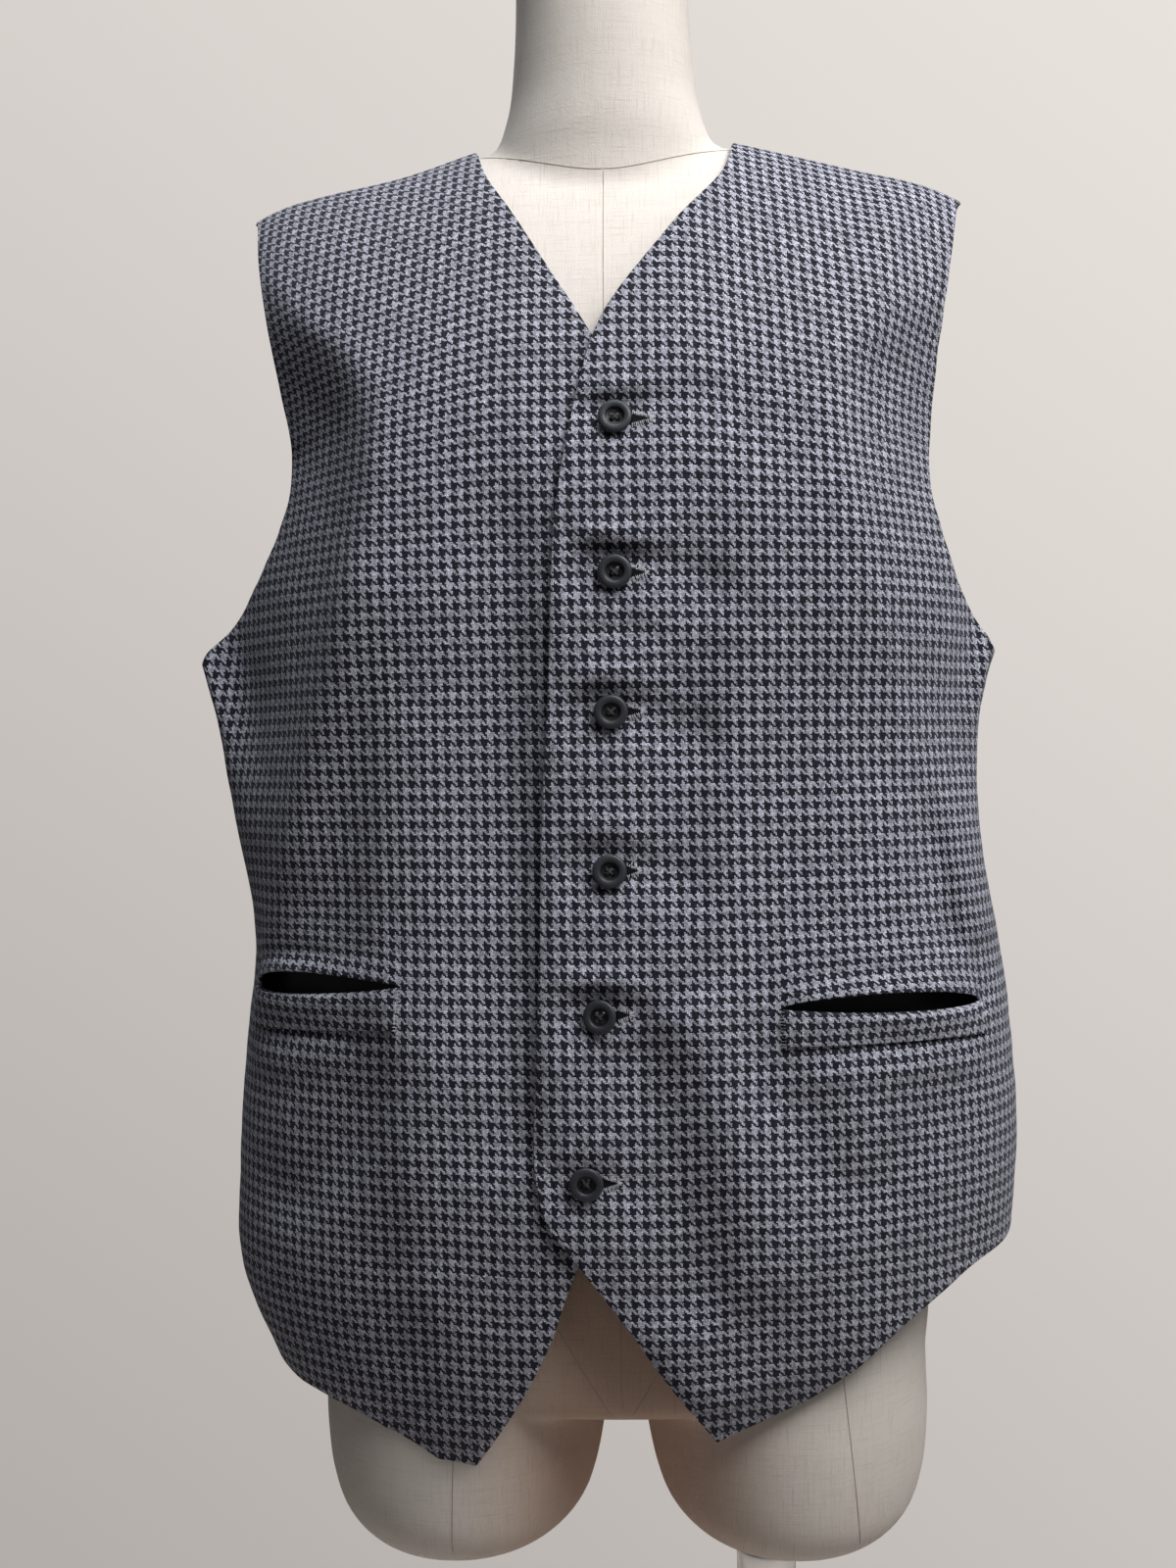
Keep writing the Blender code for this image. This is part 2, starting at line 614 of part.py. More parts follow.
class Panel:
    """A front panel as a grid of angles and levels, with an open pocket mouth along one of its rows."""

    def __init__(self, body, sign, edge, hem, hem_at_seam, rows, pocket, lift=0.0):
        self.body = body
        self.sign = sign
        self.pocket = pocket
        self.lift = lift
        self.rows = [0.0]
        for number, row in enumerate(rows[:-1]):
            self.rows += [number + (k + 1) / row.steps for k in range(row.steps)]
        self.mouth = sum(row.steps for row in rows[:POCKET_GUIDE])
        self.welt_rows = rows[POCKET_GUIDE - 1].steps
        self.columns = pocket.before + pocket.along + pocket.past + 1
        self.lay_out(edge, hem, hem_at_seam, rows)

    def edge_angle(self, marks, end_x, level):
        """Angle of an outline at a level; the outline ends on the ridge at end_x."""
        x = np.array([mark.x for mark in marks])
        z = np.array([mark.z for mark in marks])
        angles, levels = self.body.find(x, z)
        last = self.body.angle_of(np.array([end_x]), np.array([self.body.top]))
        knots = np.append(levels, self.body.top)
        return smooth_through(knots, np.append(angles, last), level)

    def outer_angle(self, level):
        """Angle of the side seam and, above the underarm, of the armhole."""
        body, sign = self.body, self.sign
        tip = float(body.angle_of(np.array([sign * TIP_HALF]), np.array([body.top]))[0])
        return side_outline(body, sign, FRONT_ARMHOLE, tip, level, -sign * SEAM_HALF)

    def lay_out(self, edge, hem, hem_at_seam, rows):
        body = self.body
        guide = np.arange(len(rows))
        inner = np.interp(self.rows, guide, body.level_of(column(rows, "inner")))
        outer = np.interp(self.rows, guide, body.level_of(column(rows, "outer")))
        self.side_levels = outer
        neck = self.sign * NECK_HALF
        inner_angle = self.edge_angle(edge, neck, inner)
        outer_angle = self.outer_angle(outer)
        start, end = inner_angle[self.mouth], outer_angle[self.mouth]
        stops = np.array([start, self.pocket.inner, self.pocket.outer, end])
        counts = np.cumsum([0, self.pocket.before, self.pocket.along, self.pocket.past])
        along = np.interp(np.arange(self.columns), counts, (stops - start) / (end - start))
        across = along[None, :]
        self.angle = inner_angle[:, None] * (1 - across) + outer_angle[:, None] * across
        self.level = inner[:, None] * (1 - across) + outer[:, None] * across
        angles, levels = body.find([mark.x for mark in hem], [mark.z for mark in hem])
        knots = np.append(angles, self.outer_angle(outer[:1]))
        curve = np.append(levels, body.level_of(hem_at_seam))
        bottom = smooth_through(self.sign * knots, curve, self.sign * self.angle[0])
        fade = np.clip(1 - np.arange(len(self.rows)) / (self.mouth - self.welt_rows), 0, 1)
        self.level += fade[:, None] * (bottom - self.level[0])[None, :]
        # The wall stops just short of the ridge, where the back begins.
        self.level[-1] = body.top

    def mouth_shape(self):
        """How open the mouth is at each column, from 0 at its ends to 1."""
        share = (np.arange(self.columns) - self.pocket.before) / self.pocket.along
        return np.sqrt(np.clip(np.sin(np.pi * np.clip(share, 0, 1)), 0, 1))

    def opened(self):
        """Angles, levels, outward pushes and faces of the panel with its mouth open."""
        columns, mouth = self.columns, self.mouth
        shape = self.mouth_shape()
        rise = self.pocket.gape / LEVEL_HEIGHT * shape
        angle, level = self.angle.copy(), self.level.copy()
        push = np.zeros_like(level)
        level[mouth] -= 0.45 * rise
        level[mouth - 1] -= 0.15 * rise
        level[mouth + 1] += 0.20 * rise
        push[mouth - 1] += 0.6 * MOUTH_POUT * shape
        push[mouth] += MOUTH_POUT * shape
        push[mouth + 1] += 0.8 * MOUTH_POUT * shape
        lip = slice(self.pocket.before + 1, self.pocket.before + self.pocket.along)
        upper = self.level[mouth, lip] + 0.55 * rise[lip]
        angle = np.append(angle.ravel(), self.angle[mouth, lip])
        level = np.append(level.ravel(), upper)
        push = np.append(push.ravel(), 0.9 * MOUTH_POUT * shape[lip])
        first_lip = len(self.rows) * columns - lip.start
        faces = []
        for quad in grid_faces(len(self.rows), columns, flip=self.sign < 0):
            if min(quad) // columns == mouth:
                quad = tuple(
                    first_lip + corner % columns
                    if corner // columns == mouth and lip.start <= corner % columns < lip.stop
                    else corner
                    for corner in quad
                )
            faces.append(quad)
        return angle, level, push, faces

    def points(self, angle, level, out):
        """Points of the surface moved outwards; on the ridge they keep half a seam's gap."""
        base = self.body.point(angle, level)
        normal = self.body.normal(angle, level)
        near = 1 - soft_step(self.sign * base[..., 0], OVERLAP_FULL, OVERLAP_GONE)
        moved = base + (out + self.lift * near)[..., None] * normal
        moved[..., 1] -= np.where(level > self.body.top - 1e-6, SEAM_HALF, 0)
        return moved

    def add_front(self, name, finish):
        angle, level, push, faces = self.opened()
        outer = self.points(angle, level, push)
        inner = self.points(angle, level, push - WOOL)
        return add_wall(name, outer, inner, faces, finish)

    def add_welt(self, name, finish):
        """The strip below the mouth, made from the panel's own points moved out."""
        angle, level, push, _ = self.opened()
        first, last = self.pocket.before, self.pocket.before + self.pocket.along
        rows = range(self.mouth - self.welt_rows, self.mouth + 1)
        pick = [j * self.columns + i for j in rows for i in range(first, last + 1)]
        level[self.mouth * self.columns : (self.mouth + 1) * self.columns] -= WELT_TOP_DROP / LEVEL_HEIGHT
        outer = self.points(angle[pick], level[pick], push[pick] + LAID_ON + WELT_WALL)
        inner = self.points(angle[pick], level[pick], push[pick] + LAID_ON)
        faces = grid_faces(len(rows), last - first + 1, flip=self.sign < 0)
        return add_wall(name, outer, inner, faces, finish)

    def add_pouch(self, name, finish):
        """The pocket's lining, a shallow tray behind the mouth whose rim meets the back of the wool."""
        first, last = self.pocket.before - 1, self.pocket.before + self.pocket.along + 1
        low, high = self.mouth - 5, self.mouth + 1
        angle = self.angle[low : high + 1, first : last + 1]
        level = self.level[low : high + 1, first : last + 1]
        across = np.minimum(np.arange(last - first + 1), np.arange(last - first + 1)[::-1])
        up = np.minimum(np.arange(high - low + 1), 3 * np.arange(high - low + 1)[::-1])
        hollow = np.minimum(across / 2, 1)[None, :] * np.minimum(up / 2, 1)[:, None]
        depth = (WOOL + LAID_ON + POUCH_DEPTH * np.sqrt(hollow)).ravel()
        outer = self.points(angle.ravel(), level.ravel(), -depth)
        inner = self.points(angle.ravel(), level.ravel(), -depth - POUCH_WALL)
        faces = grid_faces(high - low + 1, last - first + 1, flip=self.sign < 0)
        return add_wall(name, outer, inner, faces, finish)


BACK_NECKLINE = 1.385  # unsloped height of the neckline at the centre back
BACK_HALF_COLUMNS = 11
NECK_COLUMNS = 5  # columns of each half of the back that end on its neckline


def back_half(panel):
    """Angles and levels of the half of the back that meets a front, from its centre line outwards."""
    body, sign, side_level = panel.body, panel.sign, panel.side_levels
    share = (side_level - side_level[0]) / (side_level[-1] - side_level[0])
    low, high = body.level_of(HEM_AT_CENTRE_BACK), body.level_of(BACK_NECKLINE)
    middle_level = low + (high - low) * share
    tip = 180 - abs(float(body.angle_of(np.array([TIP_HALF]), np.array([body.top]))[0]))
    outline = side_outline(body, sign, BACK_ARMHOLE, sign * tip, side_level, sign * SEAM_HALF)
    reach = 180 - np.abs(outline)
    across = np.linspace(0, 1, BACK_HALF_COLUMNS + 1)
    neck_angle = abs(float(body.angle_of(np.array([NECK_HALF]), np.array([body.top]))[0]))
    stops = [0, neck_angle / reach[-1], 1]
    at_top = np.interp(np.arange(len(across)), [0, NECK_COLUMNS, BACK_HALF_COLUMNS], stops)
    bend = share[:, None] ** 4
    angle = sign * (180 - reach[:, None] * (across * (1 - bend) + at_top * bend))
    level = middle_level[:, None] + (side_level - middle_level)[:, None] * across**2
    neckline = np.clip(np.arange(len(across)) / NECK_COLUMNS, 0, 1) ** 2.2
    top = high + (body.top - high) * neckline
    level += (top - level[-1]) * share[:, None] ** 3
    return angle, level


def add_back(left, right, finish):
    """The satin back in one piece, from side seam to side seam and up to the shoulder seams."""
    body = left.body
    left_angle, left_level = back_half(left)
    right_angle, right_level = back_half(right)
    angle = np.concatenate([left_angle[:, ::-1], 360 + right_angle[:, 1:]], axis=1)
    level = np.concatenate([left_level[:, ::-1], right_level[:, 1:]], axis=1)
    rows, columns = angle.shape
    turned = np.where(angle > 180, angle - 360, angle).ravel()
    level = np.minimum(level.ravel(), body.top)

    def moved(out):
        base = body.point(turned, level)
        points = base + out * body.normal(turned, level)
        points[:, 1] += np.where(level > body.top - 1e-6, SEAM_HALF, 0)
        return points

    return add_wall("back", moved(0.0), moved(-SATIN), grid_faces(rows, columns), finish)


# ---------------------------------------------------------------- buttons


def turned_rings(profile, sides):
    """Rings of a turned piece from (radius, height) pairs listed from the bottom up."""
    turn = np.linspace(0, 2 * math.pi, sides, endpoint=False)
    circle = np.stack([np.cos(turn), np.sin(turn), np.zeros(sides)], axis=-1)
    return [circle * [radius, radius, 0] + [0, 0, height] for radius, height in profile]


def add_cylinder_cutter(name, x, y, radius, low, high, sides):
    """A hidden upright cylinder for a Boolean."""
    points, faces = closed_loft(turned_rings(((radius, low), (radius, high)), sides))
    mesh = bpy.data.meshes.new(name)
    mesh.from_pydata([tuple(point) for point in points], [], faces)
    made = bpy.data.objects.new(name, mesh)
    made.location = (x, y, 0)
    made.hide_render = True
    made.display_type = "WIRE"
    bpy.context.scene.collection.objects.link(made)
    return made


def cut(target, cutter, operation="DIFFERENCE"):
    """Adds a Boolean to an object."""
    boolean = target.modifiers.new(cutter.name, "BOOLEAN")
    boolean.operation = operation
    boolean.object = cutter


def button_mesh(finish):
    """A round four-hole button with a raised rim; it lies on z = 0 and faces +Z."""
    middle = BUTTON_HEIGHT - BUTTON_DISH
    profile = (
        (0.55 * BUTTON_RADIUS, 0.0),
        (0.88 * BUTTON_RADIUS, 0.35 * BUTTON_HEIGHT),
        (BUTTON_RADIUS, 0.72 * BUTTON_HEIGHT),
        (BUTTON_RADIUS - 0.30 * BUTTON_RIM, BUTTON_HEIGHT),
        (BUTTON_RADIUS - 0.75 * BUTTON_RIM, BUTTON_HEIGHT - 0.0001),
        (BUTTON_RADIUS - 1.15 * BUTTON_RIM, middle),
    )
    points, faces = closed_loft(turned_rings(profile, BUTTON_SIDES))
    blank = add_object("button_blank", points, faces, finish)
    holes = []
    for k in range(4):
        turn = math.radians(45 + 90 * k)
        x, y = BUTTON_HOLE_OFFSET * math.cos(turn), BUTTON_HOLE_OFFSET * math.sin(turn)
        hole = add_cylinder_cutter("button_hole", x, y, BUTTON_HOLE, -0.001, 0.006, 8)
        cut(blank, hole)
        holes.append(hole)
    bpy.context.view_layer.update()
    graph = bpy.context.evaluated_depsgraph_get()
    mesh = bpy.data.meshes.new_from_object(blank.evaluated_get(graph))
    mesh.name = "button"
    for used in (blank, *holes):
        bpy.data.objects.remove(used)
    return mesh


def add_buttons(panel, finish):
    """The buttons, each facing out of the cloth that it closes."""
    mesh = button_mesh(finish)
    body = panel.body
    for number, button in enumerate(BUTTONS, start=1):
        angle, level = body.find(button.x, button.z)
        angle, level = np.atleast_1d(angle), np.atleast_1d(level)
        facing = Vector(body.normal(angle, level)[0])
        spread = 0.5 * BUTTON_RADIUS * abs(math.sin(math.radians(button.tip)))
        seat = Vector(panel.points(angle, level, np.array([2 * SEAM]))[0]) + facing * spread
        turn = facing.to_track_quat("Z", "Y") @ Quaternion((0, 1, 0), math.radians(button.tip))
        made = bpy.data.objects.new(f"button_{number}", mesh)
        made.location = seat
        made.rotation_mode = "QUATERNION"
        made.rotation_quaternion = turn
        bpy.context.scene.collection.objects.link(made)


# ---------------------------------------------------------------- dress form and stand


def torso_points(body):
    """Rings of the form's torso from the bottom up to the ridge of its shoulders."""
    angle = np.linspace(-180, 180, FORM_SIDES, endpoint=False)
    rings = []
    for level in np.linspace(0, body.top, FORM_ROWS):
        rings.append(body.smooth_point(angle, np.full(FORM_SIDES, level)))
    return rings


def add_torso(finish):
    """The torso: rings that close on the ridge of the shoulders, where front and back meet."""
    points, faces = closed_loft(torso_points(Body(FORM_LEVELS, closed=True)))
    torso = add_object("dress_form", points, faces[:-1], finish)
    rounded = bmesh.new()
    rounded.from_mesh(torso.data)
    bmesh.ops.remove_doubles(rounded, verts=rounded.verts, dist=1e-5)
    rounded.to_mesh(torso.data)
    rounded.free()
    return torso


def oval_rings(rings, x, sides):
    """Ovals at the rings' heights, listed from the bottom up."""
    turn = np.linspace(0, 2 * math.pi, sides, endpoint=False)
    outwards = np.cos(turn) * (1 if x >= 0 else -1) >= 0
    made = []
    for ring in sorted(rings, key=lambda item: item.z):
        half_x = np.where(outwards, ring.outward, ring.inward)
        oval = np.stack([x + half_x * np.cos(turn), ring.y + ring.half_y * np.sin(turn)], -1)
        made.append(np.column_stack([oval, np.full(sides, ring.z)]))
    return made


def add_form(finish):
    """The dress form: a torso joined to a neck and two short thighs, with a socket for the rod."""
    torso = add_torso(finish)
    limbs = [("neck", oval_rings(NECK_RINGS, 0.0, NECK_SIDES))]
    limbs += [(f"thigh_{x:+.2f}", oval_rings(STUB_RINGS, x, STUB_SIDES)) for x in (STUB_X, -STUB_X)]
    for name, rings in limbs:
        points, faces = closed_loft(rings)
        limb = add_object(name, points, faces, finish)
        limb.hide_render = True
        limb.display_type = "WIRE"
        cut(torso, limb, "UNION")
    low = min(ring.z for ring in STUB_RINGS)
    socket = add_cylinder_cutter(
        "socket", ROD_X, 0, ROD_RADIUS + SEAM, low - 0.01, low + ROD_SOCKET + SEAM, ROD_SIDES
    )
    cut(torso, socket)
    return torso


def add_stand(chrome, steel):
    """A rod with a collar under the thigh, standing on a round plate."""
    thigh = min(ring.z for ring in STUB_RINGS)
    foot = BASE_HEIGHT + SEAM
    profile = (
        (0.030, foot),
        (0.030, foot + 0.004),
        (0.020, foot + 0.012),
        (ROD_RADIUS, foot + 0.016),
        (ROD_RADIUS, thigh - SEAM - COLLAR_HEIGHT),
        (COLLAR_RADIUS, thigh - SEAM - COLLAR_HEIGHT + 0.002),
        (COLLAR_RADIUS, thigh - SEAM),
        (ROD_RADIUS, thigh - SEAM),
        (ROD_RADIUS, thigh + ROD_SOCKET - 0.002),
        (ROD_RADIUS - 0.002, thigh + ROD_SOCKET),
    )
    rod = add_object("stand_rod", *closed_loft(turned_rings(profile, ROD_SIDES)), chrome)
    rod.location = (ROD_X, 0, 0)
    rim = (
        (BASE_RADIUS - 0.001, 0.0),
        (BASE_RADIUS, 0.001),
        (BASE_RADIUS, BASE_HEIGHT - 0.003),
        (BASE_RADIUS - 0.004, BASE_HEIGHT),
    )
    add_object("stand_base", *closed_loft(turned_rings(rim, BASE_SIDES)), steel)


def clear_scene():
    """Removes what the file opened with."""
    for item in list(bpy.data.objects):
        bpy.data.objects.remove(item)


def main():
    clear_scene()
    wool = finish_of("houndstooth_wool", (0.12, 0.13, 0.16), 0.9)
    satin = finish_of("navy_satin", (0.012, 0.015, 0.045), 0.35)
    lining = finish_of("pocket_lining", (0.02, 0.022, 0.03), 0.6)
    horn = finish_of("black_button", (0.02, 0.02, 0.022), 0.3)
    linen = finish_of("linen", (0.70, 0.65, 0.57), 0.95)
    chrome = finish_of("chrome", (0.75, 0.75, 0.76), 0.12, 1.0)
    steel = finish_of("steel_plate", (0.55, 0.55, 0.56), 0.35, 1.0)

    body = Body(LEVELS, FOLDS)
    right = Panel(body, -1, RIGHT_EDGE, RIGHT_HEM, RIGHT_HEM_AT_SEAM, RIGHT_ROWS, RIGHT_POCKET)
    left = Panel(
        body, 1, LEFT_EDGE, LEFT_HEM, LEFT_HEM_AT_SEAM, LEFT_ROWS, LEFT_POCKET, OVERLAP_LIFT
    )
    for panel, side in ((right, "right"), (left, "left")):
        panel.add_front(f"front_{side}", wool)
        panel.add_welt(f"welt_{side}", wool)
        panel.add_pouch(f"pocket_{side}", lining)
    add_back(left, right, satin)
    add_buttons(left, horn)
    add_form(linen)
    add_stand(chrome, steel)


if __name__ == "__main__":
    main()
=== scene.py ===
"""A houndstooth suit waistcoat buttoned onto a linen-covered dress form, dressed for a studio picture.

Metres, +Z up; the front of the waistcoat faces -Y and its wearer's left is +X. Every sheet of cloth is a
thin wall laid on one rounded body surface in two coordinates: the angle round the body (0 at the front,
positive towards the wearer's left, 180 at the back) and the level, a running row number of its table.
"""

import logging
import math
from collections.abc import Iterable, Sequence
from dataclasses import dataclass, field
from enum import Enum

import bpy
import numpy as np
from mathutils import Matrix, Quaternion, Vector
from mathutils.bvhtree import BVHTree


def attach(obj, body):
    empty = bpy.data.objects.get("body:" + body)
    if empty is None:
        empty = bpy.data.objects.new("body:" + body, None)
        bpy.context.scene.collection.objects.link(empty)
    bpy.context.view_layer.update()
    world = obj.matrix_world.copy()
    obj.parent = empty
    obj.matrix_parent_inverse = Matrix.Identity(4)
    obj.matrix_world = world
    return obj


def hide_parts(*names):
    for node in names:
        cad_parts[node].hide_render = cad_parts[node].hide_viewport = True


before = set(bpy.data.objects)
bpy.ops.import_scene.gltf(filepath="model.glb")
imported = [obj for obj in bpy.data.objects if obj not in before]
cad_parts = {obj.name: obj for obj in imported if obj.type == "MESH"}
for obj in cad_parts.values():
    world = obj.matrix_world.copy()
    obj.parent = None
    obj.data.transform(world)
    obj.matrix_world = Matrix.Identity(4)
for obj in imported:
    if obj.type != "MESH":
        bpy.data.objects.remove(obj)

log = logging.getLogger("waistcoat")

Array = np.ndarray
Socket = bpy.types.NodeSocket
Piece = bpy.types.Object
Mesh = bpy.types.Mesh
Material = bpy.types.Material
Face = tuple[int, ...]
Triple = tuple[float, float, float]

FINE = 6  # rows and columns of fine cloth for each one of the pattern tables


# ---------------------------------------------------------------- tables


@dataclass(frozen=True)
class Level:
    """One height of a body: half widths to the wearer's right and left, depths and how square it is."""

    z: float
    right: float
    left: float
    front: float
    back: float
    square: float


@dataclass(frozen=True)
class Fold:
    """A long soft ridge or, with a negative height, a trough."""

    front: bool
    x: float
    z: float
    lean: float
    reach: float
    width: float
    height: float


@dataclass(frozen=True)
class Crease:
    """A crease of the fronts along points (x, z) in millimetres as seen from the front.

    Going along the points, near is its width on the right hand and far its width on the left hand.
    Ridge is its height, tilt how far the left hand side stands above the right hand side across it and
    drop how far the cloth falls away on the right hand side. Start and finish are the shares of its
    length over which it fades.
    """

    path: tuple[tuple[int, int], ...]
    ridge: float
    tilt: float
    drop: float
    near: float
    far: float
    start: float
    finish: float


@dataclass(frozen=True)
class Mark:
    """A point of an outline as seen from the front."""

    x: float
    z: float


@dataclass(frozen=True)
class Flank:
    """Angles of a left and a right outline at one unsloped height."""

    z: float
    left: float
    right: float


@dataclass(frozen=True)
class Row:
    """A line across a panel: unsloped heights of its ends and the steps up to the next one."""

    inner: float
    outer: float
    steps: int


@dataclass(frozen=True)
class Mouth:
    """A pocket's mouth: the angles of its ends, its open height and the columns before, along and past it."""

    inner: float
    outer: float
    gape: float
    before: int
    along: int
    past: int
    skew: float = 1.0


@dataclass(frozen=True)
class Closing:
    """A button's place, how far it tips sideways and where its buttonhole ends."""

    x: float
    z: float
    tip: float
    hole_end: float


@dataclass(frozen=True)
class Ring:
    """One section of a limb: its height, centre, half width outwards and inwards and half depth."""

    z: float
    y: float
    outward: float
    inward: float
    half_y: float


class Wearer(Enum):
    """The wearer's side that a piece belongs to, as the sign of its X."""

    LEFT = 1
    RIGHT = -1


@dataclass(frozen=True)
class Lamp:
    """A square soft lamp: its place, width, power in watts and colour."""

    name: str
    place: Triple
    size: float
    power: float
    colour: Triple


@dataclass(frozen=True)
class Seam:
    """A sewn line on the form between two points seen from the front, and whether the back has it too."""

    x: float
    z: float
    end_x: float
    end_z: float
    stitches: int
    behind: bool


def table(kind: type, rows: Sequence[Sequence]) -> tuple:
    """Rows of plain values as a tuple of one kind of row; a comment names the columns."""
    return tuple(kind(*row) for row in rows)


COAT_LEVELS = table(Level,  # z, right, left, front, back, square
    (
        (0.660, 0.1700, 0.1890, 0.100, 0.094, 2.2),
        (0.720, 0.1905, 0.2030, 0.110, 0.104, 2.2),
        (0.780, 0.2145, 0.2130, 0.119, 0.114, 2.2),
        (0.840, 0.2143, 0.2195, 0.125, 0.120, 2.2),
        (0.900, 0.2090, 0.2172, 0.126, 0.118, 2.2),
        (0.960, 0.2026, 0.2106, 0.122, 0.112, 2.2),
        (1.020, 0.2120, 0.2010, 0.118, 0.110, 2.2),
        (1.080, 0.2225, 0.2015, 0.117, 0.114, 2.2),
        (1.140, 0.2335, 0.2185, 0.119, 0.120, 2.3),
        (1.200, 0.2160, 0.2120, 0.116, 0.123, 2.5),
        (1.260, 0.2090, 0.2080, 0.103, 0.118, 2.8),
        (1.310, 0.2060, 0.2050, 0.083, 0.102, 3.0),
        (1.350, 0.2045, 0.2040, 0.060, 0.078, 3.1),
        (1.379, 0.2040, 0.2035, 0.036, 0.049, 3.2),
        (1.398, 0.2035, 0.2030, 0.015, 0.021, 3.2),
        (1.4040, 0.2035, 0.2030, 0.000, 0.000, 3.2),
    ),
)
FORM_LEVELS = table(Level,  # z, right, left, front, back, square
    (
        (0.712, 0.150, 0.150, 0.078, 0.088, 2.3),
        (0.724, 0.166, 0.166, 0.090, 0.102, 2.3),
        (0.770, 0.1715, 0.1715, 0.099, 0.110, 2.2),
        (0.830, 0.172, 0.172, 0.103, 0.113, 2.2),
        (0.890, 0.165, 0.165, 0.101, 0.103, 2.2),
        (0.950, 0.152, 0.152, 0.094, 0.090, 2.2),
        (1.010, 0.140, 0.140, 0.087, 0.082, 2.2),
        (1.060, 0.142, 0.142, 0.090, 0.086, 2.2),
        (1.120, 0.156, 0.156, 0.099, 0.097, 2.3),
        (1.180, 0.159, 0.160, 0.104, 0.108, 2.4),
        (1.240, 0.166, 0.167, 0.096, 0.112, 2.6),
        (1.295, 0.178, 0.178, 0.080, 0.101, 2.9),
        (1.340, 0.186, 0.186, 0.057, 0.074, 3.1),
        (1.372, 0.190, 0.190, 0.034, 0.044, 3.2),
        (1.3939, 0.1915, 0.1915, 0.013, 0.017, 3.2),
        (1.4009, 0.1915, 0.1915, 0.000, 0.000, 3.2),
    ),
)
# The large folds, which the solids have too.
MAIN_FOLDS = table(Fold,  # front, x, z, lean, reach, width, height
    (
        (True, -0.152, 1.062, 15, 0.100, 0.020, 0.0040),
        (True, -0.181, 0.950, 12, 0.045, 0.018, 0.0030),
        (True, 0.148, 1.322, 18, 0.050, 0.016, 0.0030),
        (True, 0.048, 0.862, -12, 0.065, 0.018, -0.0033),
        (True, -0.087, 0.812, 11, 0.080, 0.026, -0.0030),
        (True, 0.176, 1.110, -6, 0.070, 0.018, 0.0025),
        (False, 0.000, 1.000, 0, 0.120, 0.030, -0.0040),
        (False, 0.110, 1.030, -7, 0.130, 0.022, 0.0040),
        (False, -0.120, 1.010, 8, 0.120, 0.024, 0.0040),
        (False, 0.060, 0.850, 10, 0.070, 0.024, 0.0030),
        (False, -0.070, 1.260, 20, 0.060, 0.020, -0.0025),
    ),
)
